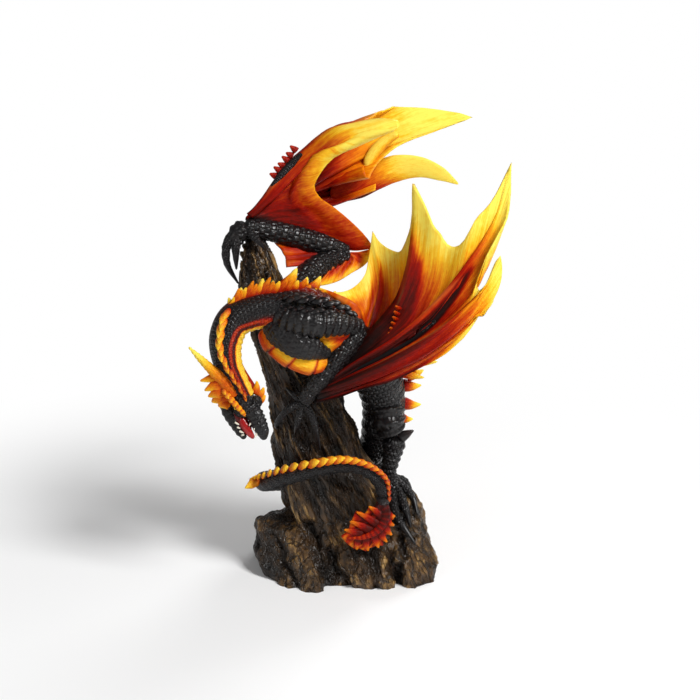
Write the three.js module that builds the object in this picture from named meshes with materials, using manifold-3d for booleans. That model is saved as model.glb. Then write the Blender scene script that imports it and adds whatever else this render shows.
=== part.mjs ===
// A cast and painted statue, about 29 cm tall: a winged dragon climbs down a leaning, broken tree trunk
// that stands on a rock. Its wing hands and hind feet grip the wood and the stone, and its tail goes
// round the trunk.
// Millimetres, +Z up. The front view looks along +Y, with +X to the right. "Left" and "right" are the
// dragon's own.
// The origin is on the flat underside of the rock, near its middle.
import * as THREE from "three";
import { mergeVertices } from "three/addons/utils/BufferGeometryUtils.js";
import Module from "manifold-3d";

const wasm = await Module();
wasm.setup();

// Plinth
const ROCK_SIDES = 11;
const ROCK_RINGS = 8;
const ROCK_SWELL = 0.07; // shares of a boulder's size
const ROCK_LEDGE = 0.05;
const TRUNK_SIDES = 13;
const TRUNK_STEPS = 15;
const TRUNK_SPLINTER = 4; // the broken top stands this much above its last ring
// Ridges of bark: each one's height as a share of the radius, how many stand round the trunk, and how
// far they wind up it.
const BARK_RIDGES = [
  { height: 0.07, count: 5, wind: 3 },
  { height: 0.04, count: 8, wind: 9 },
];
const BARK_FLOOR = 0.97; // the share of the radius that they stand on
const GAP = 0.35; // clearance between the dragon's skin and the plinth that it grips
const FLOOR_BLOCK = 400; // cuts the boulders off flat at the underside
const WELD = 1e-3; // corners this close are one corner

// Dragon
const POINT = 0.5; // radius of a claw or spine at its point
const DIGIT_ROOT = 2.6;
const WING_SKIN = 1.1; // half the thickness of a membrane at its root
const WING_RIDGE = [2.2, 0.3]; // what a wing finger adds to that at the wrist and at its tip
const WEB_SKIN = 1.3;

const TOWARDS_VIEWER = [0, -1, 0];
const AWAY = [0, 1, 0];
const UPWARDS = [0, 0, 1];

const vector = ([x, y, z]) => new THREE.Vector3(x, y, z);
const smoothPath = (points) => new THREE.CatmullRomCurve3(points.map(vector), false, "centripetal");

// The value at t, from 0 to 1, of a list that is spread evenly along a path.
function valueAt(list, t) {
  const place = t * (list.length - 1);
  const i = Math.min(Math.floor(place), list.length - 2);
  return THREE.MathUtils.lerp(list[i], list[i + 1], place - i);
}

// A closed solid from a three.js geometry, whichever way its faces turn.
function solidOf(geometry) {
  const bare = geometry.clone();
  bare.deleteAttribute("normal");
  bare.deleteAttribute("uv");
  const merged = mergeVertices(bare, WELD);
  const triVerts = new Uint32Array(merged.index.array);
  const vertProperties = merged.attributes.position.array;
  const made = new wasm.Manifold(new wasm.Mesh({ numProp: 3, vertProperties, triVerts }));
  if (made.volume() > 0) return made;
  for (let i = 0; i < triVerts.length; i += 3) {
    [triVerts[i + 1], triVerts[i + 2]] = [triVerts[i + 2], triVerts[i + 1]];
  }
  return new wasm.Manifold(new wasm.Mesh({ numProp: 3, vertProperties, triVerts }));
}

const fuse = (solids) => solids.reduce((whole, solid) => whole.add(solid));

// Moves each vertex of a geometry to place(u, v, vertex).
function warped(geometry, place) {
  const position = geometry.getAttribute("position");
  const uv = geometry.getAttribute("uv");
  const vertex = new THREE.Vector3();
  for (let i = 0; i < position.count; i++) {
    vertex.fromBufferAttribute(position, i);
    const moved = place(uv.getX(i), 1 - uv.getY(i), vertex);
    position.setXYZ(i, moved.x, moved.y, moved.z);
  }
  return geometry;
}

// A round or flattened limb along a smooth path. It has one radius for each point, and up is the
// way its back faces.
const twicePerStep = (points) => 2 * (points.length - 1);
function limb(points, radii, { sides = 7, steps = twicePerStep(points), flat = 1, up = TOWARDS_VIEWER } = {}) {
  const path = smoothPath(points);
  const rings = steps + 2;
  const back = vector(up);
  return solidOf(
    warped(new THREE.SphereGeometry(1, sides, rings), (u, v) => {
      const ring = Math.round(v * rings);
      const t = THREE.MathUtils.clamp((ring - 1) / steps, 0, 1);
      const centre = path.getPoint(t);
      if (ring === 0 || ring === rings) return centre;
      const ahead = path.getTangent(t);
      const top = back.clone().addScaledVector(ahead, -back.dot(ahead)).normalize();
      const side = top.clone().cross(ahead);
      const radius = valueAt(radii, t);
      const angle = 2 * Math.PI * u;
      return centre
        .addScaledVector(side, -Math.cos(angle) * radius)
        .addScaledVector(top, Math.sin(angle) * radius * flat);
    }),
  );
}

// A horn, spine or plate from a sunken foot to a point.
function spike(foot, tip, radius, { sides = 5, flat = 1, up = TOWARDS_VIEWER } = {}) {
  return limb([foot, tip], [radius, POINT], { sides, steps: 1, flat, up });
}

// Digits that spread from a wrist or an ankle, each given by the points that it passes.
function digits(list) {
  const radiusAt = (share) => THREE.MathUtils.lerp(DIGIT_ROOT, POINT, share);
  const taper = (points) => points.map((_point, i) => radiusAt(i / (points.length - 1)));
  return fuse(list.map((points) => limb(points, taper(points), { sides: 5, steps: points.length - 1 })));
}

// A wing membrane. Its rails leave the wrist or elbow side by side, and edges[i] is the free edge
// from the tip of rails[i] to the tip of rails[i + 1], with its flame points and valleys.
// The skin thickens into a ridge on each rail.
function sail(rails, edges, { lengthwise = 5, root = 0.07, skin = WING_SKIN, ridge = WING_RIDGE } = {}) {
  const paths = rails.map(smoothPath);
  const columns = edges.flatMap((edge, i) => {
    const all = edge.map((_point, j) => ({ i, j, u: j / (edge.length - 1) }));
    return i === 0 ? all : all.slice(1);
  });
  const grid = columns.map(({ i, j, u }) => {
    const reach = vector(edges[i][j]).sub(paths[i].getPoint(1).lerp(paths[i + 1].getPoint(1), u));
    return Array.from({ length: lengthwise + 1 }, (_empty, row) => {
      const v = root + ((1 - root) * row) / lengthwise;
      return paths[i].getPoint(v).lerp(paths[i + 1].getPoint(v), u).addScaledVector(reach, v);
    });
  });
  const last = columns.length - 1;
  return solidOf(
    warped(new THREE.BoxGeometry(1, 1, 1, last, lengthwise, 1), (_u, _v, corner) => {
      const column = Math.round((corner.x + 0.5) * last);
      const row = Math.round((corner.y + 0.5) * lengthwise);
      const across = grid[Math.min(column + 1, last)][row].clone().sub(grid[Math.max(column - 1, 0)][row]);
      const ahead = grid[column][Math.min(row + 1, lengthwise)].clone().sub(grid[column][Math.max(row - 1, 0)]);
      const onRail = Number.isInteger(columns[column].u) ? 1 : 0;
      const share = row / lengthwise;
      const half = skin * (1 - 0.4 * share) + onRail * valueAt(ridge, share);
      return grid[column][row].clone().addScaledVector(across.cross(ahead).normalize(), 2 * corner.z * half);
    }),
  );
}

// One lump of the rock, with swells and hollows that make its faces uneven.
function boulder({ at, half, turn }, grow) {
  const ball = new THREE.SphereGeometry(1, ROCK_SIDES, ROCK_RINGS, turn);
  return solidOf(
    warped(ball, (_u, _v, { x, y, z }) => {
      const swell = ROCK_SWELL * Math.sin(5.1 * x + 2 * turn) * Math.sin(4.3 * z - turn);
      const ledge = ROCK_LEDGE * Math.sin(6 * y + 3 * x);
      const reach = half.map((size) => size * (1 + swell + ledge) + grow);
      return new THREE.Vector3(at[0] + x * reach[0], at[1] + z * reach[1], at[2] + y * reach[2]);
    }),
  );
}

const BOULDERS = [
  { at: [-33, -6, 16], half: [24.5, 31, 22], turn: 0.4 },
  { at: [-19, -25, 4], half: [21, 20.5, 27], turn: 1.1 },
  { at: [14, -20, 2], half: [26, 20, 33], turn: 2.3 },
  { at: [36, 2, 15], half: [18.5, 30, 33], turn: 1.7 },
  { at: [42, -18, 5], half: [15.5, 21, 26], turn: 0.2 },
  { at: [12, 27, 8], half: [36, 24, 30], turn: 2.9 },
  { at: [-27, 20, 5], half: [27, 25, 26], turn: 0.9 },
];
const rock = (grow) => fuse(BOULDERS.map((lump) => boulder(lump, grow)));

// The broken trunk: wide roots on the rock, ridged bark, and a splintered top that leans to the left.
const TRUNK_LINE = [
  [-2, 0, -8], [-5, 0, 40], [-13, 0, 66], [-18, 0, 86], [-22, 0, 104],
  [-29, 0, 126], [-38, 0, 152], [-49, 1, 180], [-52, 2, 200], [-53, 3, 213],
];
const TRUNK_RADII = [38, 31, 27, 25, 21.5, 18, 15.5, 13.5, 8.5, 4];
function trunk(grow) {
  const path = smoothPath(TRUNK_LINE);
  const rings = TRUNK_STEPS + 2;
  return solidOf(
    warped(new THREE.SphereGeometry(1, TRUNK_SIDES, rings), (u, v) => {
      const ring = Math.round(v * rings);
      const t = THREE.MathUtils.clamp((rings - 1 - ring) / TRUNK_STEPS, 0, 1);
      const atPole = ring === 0 || ring === rings;
      const angle = 2 * Math.PI * u;
      const ridge = ({ height, count, wind }) => height * Math.sin(count * angle + wind * t);
      const bark = BARK_RIDGES.reduce((sum, ridges) => sum + ridge(ridges), BARK_FLOOR);
      const radius = atPole ? 0 : valueAt(TRUNK_RADII, t) * bark + grow;
      const rise = ring === 0 ? TRUNK_SPLINTER + grow : 0;
      return path.getPoint(t).add(new THREE.Vector3(-Math.cos(angle) * radius, Math.sin(angle) * radius, rise));
    }),
  );
}

function plinthSolid(grow = 0) {
  const above = new THREE.BoxGeometry(FLOOR_BLOCK, FLOOR_BLOCK, FLOOR_BLOCK).translate(0, 0, FLOOR_BLOCK / 2);
  return fuse([rock(grow), trunk(grow)]).intersect(solidOf(above));
}

// Neck, body and the root of the tail, from the skull to where the tail goes behind the trunk.
const SPINE = [
  [-57, -50, 126], [-63, -50, 138], [-68, -48, 149], [-69, -45, 162], [-64, -42, 173], [-52, -39, 178],
  [-40, -36, 179], [-25, -33, 177], [-11, -28, 165], [6, -16, 148], [20, -3, 128], [25, 5, 108],
  [24, 12, 88], [19, 25, 68],
];
const SPINE_RADII = [6, 7, 8.5, 10, 10.5, 11, 12.5, 15.5, 17.5, 16, 15.5, 13.5, 12.5, 9];
const body = () => limb(SPINE, SPINE_RADII, { sides: 10, steps: 22 });

// The broad belly plates stand off the underside of the chest.
const BELLY = [[-40, -40, 167], [-33, -42, 158], [-24, -42, 150], [-13, -40, 145], [-2, -36, 144]];
const belly = () => limb(BELLY, [5, 7, 8, 7, 4], { steps: 9, sides: 6, flat: 0.7 });

// Each spine is [foot, tip, radius]: the neck and shoulders first, then the hips.
const SPINES = [
  [[-69, -46, 168], [-74, -46, 177], 3], [[-67, -42, 177], [-66, -41, 187], 3],
  [[-61, -38, 181], [-59, -37, 191], 3.4], [[-50, -36, 187], [-46, -35, 196], 4],
  [[-44, -34, 188], [-40, -33, 195], 3.6], [[-35, -32, 188], [-26, -30, 201], 5.5],
  [[-23, -29, 187], [-15, -26, 195], 4.5], [[-13, -24, 178], [-4, -20, 184], 3.4],
  [[41, 0, 131], [50, 0, 137], 4], [[39, 4, 124], [50, 4, 128], 4.5], [[36, 7, 117], [49, 10, 116], 5],
  [[36, 8, 105], [49, 11, 103], 5], [[35, 9, 95], [44, 12, 93], 4],
  [[34, -4, 130], [50, -6, 126], 4], [[36, -5, 136], [58, -8, 137], 4],
];
const spines = () => fuse(SPINES.map(([foot, tip, radius]) => spike(foot, tip, radius, { flat: 0.6 })));

// The ridge of scutes that runs down the neck, on the side turned to the viewer.
const NECK_RIDGE = [[-74, -50, 168], [-76, -54, 158], [-74, -56, 148], [-69, -57, 138], [-63, -58, 129]];
const neckRidge = () => limb(NECK_RIDGE, [2.6, 3.4, 3.4, 3, 2], { steps: 8, sides: 6 });

// The tail goes behind the trunk, comes round its left side and hangs over the rock.
const TAIL = [
  [26, 12, 86], [18, 26, 67], [1, 38, 54], [-22, 43, 43], [-41, 31, 45], [-50, 10, 52], [-45, -11, 60],
  [-31.5, -25, 69.5], [-15, -32.5, 77], [1, -34.5, 80], [14, -35.5, 77.5], [22.5, -36, 69],
  [24.5, -36.5, 58], [20.5, -36.5, 48], [12, -36.5, 39.5],
];
const TAIL_RADII = [11, 9.5, 8.5, 7.6, 6.8, 6, 5.6, 5.5, 5.4, 5.2, 4.8, 4.4, 4, 3.4, 2];
const TAIL_RIDGE = [
  [-58, 4, 54], [-51, -13, 63], [-36.5, -27, 74], [-16, -36.5, 82],
  [1, -38.5, 85], [16, -39.5, 81.5], [26.5, -39, 71], [28.5, -39, 58],
];
const FIN = [
  [[20.5, -35.5, 48], [17.5, -36.5, 53.5]], [[18.5, -36.5, 43.5], [8, -36.5, 49.5]],
  [[13, -36.5, 38.5], [-1, -37.5, 34]], [[13, -36.5, 37.5], [5, -38.5, 27]],
  [[14, -36.5, 37.5], [14, -38.5, 25]], [[16, -36.5, 39.5], [24.5, -38.5, 29]],
  [[18.5, -36.5, 41.5], [29.5, -37.5, 36]],
  [[20.5, -36.5, 45.5], [31.5, -37.5, 42.5]], [[22.5, -35.5, 50], [31.5, -36.5, 47.5]],
];
const FIN_SPAN = [[22.5, -37, 52], [21.5, -37.5, 41], [11, -38, 34], [0, -38, 35]];
function tail() {
  const rope = limb(TAIL, TAIL_RADII, { sides: 6, steps: 23, up: UPWARDS });
  const ridge = limb(TAIL_RIDGE, [2, 3, 3, 3, 2.8, 2.6, 2.4, 1.6], { sides: 4, steps: 12, up: UPWARDS });
  const leaf = limb(FIN_SPAN, [4, 8.5, 8.5, 1.5], { sides: 6, steps: 5, flat: 0.3 });
  const fin = FIN.map(([foot, tip]) => spike(foot, tip, 5, { sides: 4, flat: 0.4 }));
  return fuse([rope, ridge, leaf, ...fin]);
}

// Skull, open jaws, swept horns and cheek frills.
const FRILLS = [
  [[-70, -51, 130], [-84, -54, 141], 4], [[-70, -50, 126], [-82, -53, 132], 4],
  [[-68, -49, 124], [-78, -51, 124], 3.4],
  [[-51, -48, 128], [-47, -45, 138], 3.6], [[-50, -48, 124], [-45, -46, 131], 3.4],
];
const TEETH = 3;
function head() {
  const skull = limb([[-58, -49, 131], [-59, -51, 123], [-56, -53, 116]], [7, 8, 6.2]);
  const upperJaw = limb([[-56, -53, 122], [-51, -54, 115], [-46.5, -55, 104]], [6, 5.4, 2.6], { flat: 0.85 });
  const lowerJaw = limb([[-66, -51, 124], [-63, -53, 114], [-58.5, -55, 103]], [5, 3.6, 2], { flat: 0.9 });
  const horn = { sides: 6, steps: 3 };
  const tongue = limb([[-60, -53, 118], [-56, -54, 110], [-53, -55, 103]], [3.4, 2.6, 1.2], horn);
  const nearHorn = limb([[-62, -52, 128], [-76, -55, 144], [-90, -56, 161]], [4.4, 2.8, POINT], horn);
  const farHorn = limb([[-52, -44, 128], [-56, -34, 142], [-66, -24, 158]], [4, 2.6, POINT], horn);
  const frills = FRILLS.map(([foot, tip, radius]) => spike(foot, tip, radius, { flat: 0.5 }));
  const tooth = { sides: 4 };
  const teeth = Array.from({ length: TEETH }, (_empty, i) => [
    spike([-51.5 + i * 1.6, -56.5, 112 - i * 3.4], [-55 + i * 1.6, -57.5, 109.5 - i * 3.4], 1.1, tooth),
    spike([-61.5 + i * 1.4, -56, 112 - i * 3.6], [-58.5 + i * 1.4, -57, 109.5 - i * 3.6], 1, tooth),
  ]);
  return fuse([skull, upperJaw, lowerJaw, tongue, nearHorn, farHorn, ...frills, ...teeth.flat()]);
}

const LEFT_ELBOW = [12, -36, 167];
const LEFT_WRIST = [-24, -33, 119.5];
function leftArm() {
  const upper = limb(
    [[-34, -32, 175], [-22, -38, 173], [-5, -40, 170], LEFT_ELBOW],
    [9, 10.5, 7.5, 3.6], { steps: 5 },
  );
  const fore = limb(
    [LEFT_ELBOW, [-2, -38.5, 149.5], [-13, -36.6, 134.5], LEFT_WRIST],
    [4.4, 6.4, 6, 5], { steps: 5 },
  );
  const hand = digits([
    [LEFT_WRIST, [-28, -30, 121.5], [-34.5, -20, 124]],
    [LEFT_WRIST, [-33, -30, 113.5], [-40.5, -20, 101], [-40.5, -13, 95]],
    [LEFT_WRIST, [-27, -31, 107], [-29.5, -23.5, 94.5]],
    [LEFT_WRIST, [-18, -32, 108], [-16, -28.5, 97.5], [-14, -25.5, 85.5]],
  ]);
  return fuse([upper, fore, hand]);
}

const RIGHT_ELBOW = [4, 12, 201];
const RIGHT_WRIST = [-60, -1, 220];
function rightArm() {
  const upper = limb([[-30, -16, 182], [-24, -8, 189], [-12, 4, 196], RIGHT_ELBOW], [9, 8, 7, 4], { steps: 5 });
  const fore = limb(
    [RIGHT_ELBOW, [-15, 10, 207], [-38, 4, 215], RIGHT_WRIST],
    [4.4, 7, 6.4, 5.4], { steps: 5 },
  );
  const hand = digits([
    [RIGHT_WRIST, [-69, -5, 212], [-70, -8, 200], [-63, -8, 186]],
    [RIGHT_WRIST, [-64, -8, 210], [-64, -12, 196]],
    [RIGHT_WRIST, [-54, -6, 216], [-47, -8, 208]],
    [RIGHT_WRIST, [-66, 7, 210], [-66, 14, 196]],
  ]);
  return fuse([upper, fore, hand]);
}

function leftLeg() {
  const thigh = limb([[26, 3, 110], [28, -1, 97], [32, -1, 87]], [11.5, 10.5, 8.5]);
  const shin = limb([[33, -1, 86], [30, 1, 70], [28, 2, 60]], [7.5, 5.4, 4.6], { steps: 3 });
  const spur = spike([37, -1, 86], [43, -2, 90], 3.2);
  const foot = limb([[28, 2, 61], [31, -2, 56], [34, -6, 52]], [4.8, 5.2, 4.2], { steps: 3 });
  const toes = digits([
    [[32, -3, 56], [36, -4, 55], [43, -8, 49], [46.5, -16, 39]],
    [[33, -5, 54], [38, -15, 46], [42, -24, 34]],
    [[31, -5, 54], [33, -20, 42], [45, -32, 26]],
    [[29, 2, 56], [38, 9, 53], [44, 12, 44]],
  ]);
  return fuse([thigh, shin, spur, foot, toes]);
}

function rightLeg() {
  const thigh = limb([[24, 17, 102], [28, 32, 90], [27, 38, 78]], [10, 9.5, 7], { up: AWAY, steps: 3 });
  const shin = limb([[27, 38, 80], [24, 40, 62], [22, 38, 42]], [6.6, 5, 4.4], { up: AWAY, steps: 3 });
  const toes = digits([
    [[22, 38, 43], [14, 45, 36], [8, 50, 24]],
    [[22, 38, 43], [22, 46, 34], [23, 50, 22]],
    [[22, 38, 43], [32, 42, 34], [38, 44, 22]],
  ]);
  return fuse([thigh, shin, toes]);
}

// The fingers of the wings in order, from the trailing edge to the leading edge, each from its joint
// to its tip.
const LEFT_RAILS = [
  [LEFT_ELBOW, [6, -30, 178], [-5, -24, 183], [-15, -18, 186]],
  [LEFT_WRIST, [0, -28, 141.5], [12, -18, 157], [17, -8, 168], [21, -2, 181], [21, 2, 197], [18, 8, 215]],
  [LEFT_WRIST, [2, -33, 145], [21, -32, 166], [33, -27, 181], [39, -22, 199], [42, -15, 221], [42, -8, 248]],
  [
    LEFT_WRIST, [4, -42, 143.5], [34, -50, 166], [55, -48, 186],
    [72, -42, 207], [88, -32, 231], [99, -20, 263],
  ],
  [LEFT_WRIST, [1, -45, 134.5], [31, -60, 155], [54, -64, 171], [71, -64, 186], [83, -61, 200], [91, -56, 216]],
  [LEFT_WRIST, [-2, -42, 126.5], [21, -54, 138], [41, -58, 148], [57, -60, 157], [70, -61, 168]],
];
const LEFT_EDGES = [
  [[-15, -18, 186], [-6, -14, 183], [2, -10, 183], [9, -6, 186], [14, -2, 192], [16, 3, 202], [18, 8, 215]],
  [[18, 8, 215], [23, 6, 208], [28, 2, 205], [33, -3, 205], [37, -8, 213], [40, -10, 225], [42, -8, 248]],
  [
    [42, -8, 248], [48, -16, 237], [53, -24, 226], [57, -28, 222], [62, -32, 216],
    [68, -36, 218], [77, -36, 232], [86, -32, 240], [94, -26, 252], [99, -20, 263],
  ],
  [
    [99, -20, 263], [98, -27, 248], [94, -36, 234], [86, -45, 222], [80, -52, 211],
    [78, -58, 196], [83, -58, 202], [87, -57, 211], [91, -56, 216],
  ],
  [
    [91, -56, 216], [92, -57, 211], [91, -60, 201], [87, -62, 192],
    [82, -63, 185], [77, -62, 177], [70, -61, 168],
  ],
];
const LEFT_WEB = {
  rails: [[LEFT_ELBOW, [1, -38, 155], [-10, -39, 148]], [LEFT_ELBOW, [-5, -37, 165], [-22, -35, 162]]],
  edges: [[[-10, -39, 148], [-11, -38, 154], [-16, -37, 159], [-22, -35, 162]]],
};
function leftWing() {
  return fuse([
    sail(LEFT_RAILS, LEFT_EDGES),
    sail(LEFT_WEB.rails, LEFT_WEB.edges, { lengthwise: 3, skin: WEB_SKIN, ridge: [0, 0] }),
  ]);
}

// The right wing is a curled sail that opens to the right: a front sheet, a roof, a hollow back and
// a lip below.
const CORNER = [19, 14, 203];
const ROOF_START = [14, 8, 283];
const ROOF_END = [32, 50, 284];
const RIGHT_RAILS = [
  [[-59, 0, 221], [-47, 5, 218], [-26, 9, 212], [-5, 12, 205], [6, 13, 202], CORNER],
  [
    [-62, 0, 223], [-55, 1, 228], [-48, 3, 236], [-41, 6, 246], [-32.5, 8, 257],
    [-23.5, 9, 265], [-16, 8, 272], [-7.5, 7, 278], [3, 5, 281], ROOF_START,
  ],
  [[-62, 0, 223], [-42, 20, 234], [-23, 34, 251], [-5, 42, 265], [14, 47, 275], ROOF_END],
  [[-62, 0, 223], [-39, 28, 226], [-24, 44, 228], [-11, 52, 230], [3, 55, 235], [16, 54, 240]],
  [[-59, 0, 221], [-44, 12, 220], [-26, 26, 221], [-8, 42, 223], [7, 44, 228], [20, 44, 233]],
];
const RIGHT_EDGES = [
  [
    CORNER, [14, 12, 211], [6, 10, 220], [-5, 8, 230], [-14, 6, 237], [-18, 4, 245], [-14, 2, 255],
    [-5, 0, 266], [9, -3, 273], [23, -6, 279], [34, -8, 284], [26, -3, 285], ROOF_START,
  ],
  [ROOF_START, [19, 20, 282], [24, 36, 282], ROOF_END],
  [
    ROOF_END, [54, 50, 283], [80, 46, 278], [60, 46, 271], [41, 44, 266], [30, 40, 261],
    [22, 34, 255], [17, 30, 248], [15, 28, 244], [13, 32, 249], [14, 44, 246], [16, 54, 240],
  ],
  [[16, 54, 240], [20, 52, 238], [20, 44, 233]],
];
const LIP_FLAME = [
  [-8, 47, 228], [9, 49, 234], [20, 50, 240], [33, 51, 245], [48, 50, 246], [61, 48, 242], [72, 46, 236],
];
const LIP_FLAME_RADII = [5, 8, 8.6, 8.6, 6.6, 4.4, POINT];
const LOWER_WEB = {
  rails: [[RIGHT_ELBOW, [10, 13, 201], CORNER], [RIGHT_ELBOW, [-7, 2, 194], [-16, -10, 185]]],
  edges: [[CORNER, [15, 11, 195], [6, 6, 190], [-5, 0, 185], [-16, -10, 185]]],
};
const ARM_WEB = {
  rails: [[RIGHT_ELBOW, [-20, 10, 206], [-44, 4, 212]], [RIGHT_ELBOW, [-14, 4, 196], [-34, -6, 196]]],
  edges: [[[-44, 4, 212], [-38, 0, 206], [-35, -4, 202], [-34, -6, 196]]],
};
const KNUCKLE_SPINES = 4;
function rightWing() {
  const knuckle = Array.from({ length: KNUCKLE_SPINES }, (_empty, i) =>
    spike([-40 + i * 4, 7, 247 + i * 5], [-45 + i * 4, 6, 249.5 + i * 5], 2.2));
  const web = { lengthwise: 3, skin: WEB_SKIN, ridge: [0, 0] };
  return fuse([
    sail(RIGHT_RAILS, RIGHT_EDGES, { root: 0.08 }),
    sail(LOWER_WEB.rails, LOWER_WEB.edges, web),
    sail(ARM_WEB.rails, ARM_WEB.edges, web),
    limb(LIP_FLAME, LIP_FLAME_RADII, { steps: 8, flat: 0.2 }),
    ...knuckle,
  ]);
}

function dragonSolid() {
  const parts = [
    body(), belly(), spines(), neckRidge(), tail(), head(),
    leftArm(), rightArm(), leftLeg(), rightLeg(), leftWing(), rightWing(),
  ];
  const pieces = fuse(parts).subtract(plinthSolid(GAP)).decompose();
  return pieces.sort((a, b) => b.volume() - a.volume())[0];
}

function meshOf(name, solid, colour, roughness) {
  const { vertProperties, triVerts, numProp } = solid.getMesh();
  const corners = new Float32Array(triVerts.length * 3);
  triVerts.forEach((corner, i) => {
    corners.set(vertProperties.subarray(corner * numProp, corner * numProp + 3), i * 3);
  });
  const geometry = new THREE.BufferGeometry();
  geometry.setAttribute("position", new THREE.BufferAttribute(corners, 3));
  geometry.computeVertexNormals();
  const paint = new THREE.MeshStandardMaterial({ color: colour, roughness, metalness: 0 });
  const mesh = new THREE.Mesh(geometry, paint);
  mesh.name = name;
  return mesh;
}

const statue = new THREE.Group();
statue.add(meshOf("rock_plinth", plinthSolid(), 0x2e2418, 0.7));
statue.add(meshOf("dragon", dragonSolid(), 0xb03510, 0.5));

export default statue;
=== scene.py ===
"""A cast and painted dragon that climbs down a broken tree trunk on a rock, dressed for its picture.

Points are in millimetres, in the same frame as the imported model, and become metres when a shell is made.
"""

import math

import bmesh
import bpy
import numpy as np
from mathutils import Matrix, Vector, noise


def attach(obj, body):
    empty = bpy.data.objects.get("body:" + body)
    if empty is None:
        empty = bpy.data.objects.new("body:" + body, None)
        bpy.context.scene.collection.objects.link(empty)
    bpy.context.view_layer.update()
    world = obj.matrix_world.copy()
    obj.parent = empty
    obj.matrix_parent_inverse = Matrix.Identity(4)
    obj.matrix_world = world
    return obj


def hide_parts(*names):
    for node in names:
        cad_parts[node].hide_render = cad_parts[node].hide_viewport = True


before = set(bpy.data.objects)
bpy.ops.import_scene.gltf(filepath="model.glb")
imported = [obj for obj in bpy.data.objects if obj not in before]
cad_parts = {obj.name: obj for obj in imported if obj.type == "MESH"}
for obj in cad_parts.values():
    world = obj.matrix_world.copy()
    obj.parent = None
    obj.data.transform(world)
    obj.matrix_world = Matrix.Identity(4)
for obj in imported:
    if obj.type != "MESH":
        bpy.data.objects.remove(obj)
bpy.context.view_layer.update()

MM = 0.001
TURN = 2 * math.pi
TOWARDS_VIEWER = (0, -1, 0)
AWAY = (0, 1, 0)
UPWARDS = (0, 0, 1)
POINT = 0.5  # radius of a claw or spine at its point
POLE = 1 - 1e-6  # height on a unit sphere from which a point counts as its pole
FINE = 40  # steps between two points of a path when its length is measured
SCALE_LENGTH = 0.9  # length of a small scale, as a share of its width


# Curves and values

def curve(points, t):
    """The smooth path through these points, at each t from 0 to 1."""
    p = np.asarray(points, float)
    knots = np.vstack([2 * p[0] - p[1], p, 2 * p[-1] - p[-2]])
    place = np.clip(np.atleast_1d(t), 0, 1) * (len(p) - 1)
    i = np.minimum(place.astype(int), len(p) - 2)
    w = (place - i)[:, None]
    p0, p1, p2, p3 = knots[i], knots[i + 1], knots[i + 2], knots[i + 3]

    def gap(a, b):
        return np.sqrt(np.maximum(np.linalg.norm(b - a, axis=1), 1e-6))[:, None]

    d0, d1, d2 = gap(p0, p1), gap(p1, p2), gap(p2, p3)
    m1 = ((p1 - p0) / d0 - (p2 - p0) / (d0 + d1) + (p2 - p1) / d1) * d1
    m2 = ((p2 - p1) / d1 - (p3 - p1) / (d1 + d2) + (p3 - p2) / d2) * d1
    return p1 + w * m1 + w ** 2 * (-3 * p1 + 3 * p2 - 2 * m1 - m2) + w ** 3 * (2 * p1 - 2 * p2 + m1 + m2)


def spread(values, t):
    """A list of values laid evenly along a path, at each t."""
    return np.interp(t, np.linspace(0, 1, len(values)), values)


def rise(low, high, x):
    """0 below low, 1 above high, and smooth between."""
    w = np.clip((x - low) / (high - low), 0, 1)
    return w * w * (3 - 2 * w)


def hump(x, middle, width, power=2):
    """1 at the middle and 0 beyond the width. A higher power gives a flatter top."""
    return np.exp(-(np.abs((x - middle) / width) ** power))


def unit(v):
    return v / np.maximum(np.linalg.norm(v, axis=-1, keepdims=True), 1e-9)


# Shells: each is one closed skin of the casting, with its paint as attributes of its points

PAINT = ("burn", "worn", "scales")


def vectors_of(mesh, kind):
    """The points or the normals of a mesh, one row each."""
    values = np.empty(len(mesh.vertices) * 3)
    mesh.vertices.foreach_get(kind, values)
    return values.reshape(-1, 3)


def move_points(mesh, points):
    mesh.vertices.foreach_set("co", (np.asarray(points) * MM).ravel())


def store(mesh, name, values):
    """Keeps one number for each point of a mesh."""
    values = np.broadcast_to(np.asarray(values, float), (len(mesh.vertices),))
    mesh.attributes.new(name, "FLOAT", "POINT").data.foreach_set("value", np.ascontiguousarray(values))


def smooth(mesh):
    mesh.polygons.foreach_set("use_smooth", np.ones(len(mesh.polygons), bool))


def ball(around, rings):
    bm = bmesh.new()
    bmesh.ops.create_uvsphere(bm, u_segments=around, v_segments=rings, radius=1)
    return bm


def linked(name, data):
    made = bpy.data.objects.new(name, data)
    bpy.context.scene.collection.objects.link(made)
    return made


def signed_volume(mesh):
    mesh.calc_loop_triangles()
    corners = np.empty(len(mesh.loop_triangles) * 3, np.int32)
    mesh.loop_triangles.foreach_get("vertices", corners)
    a, b, c = vectors_of(mesh, "co")[corners.reshape(-1, 3)].transpose(1, 0, 2)
    return float(np.einsum("ij,ij->i", a, np.cross(b, c)).sum()) / 6


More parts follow.
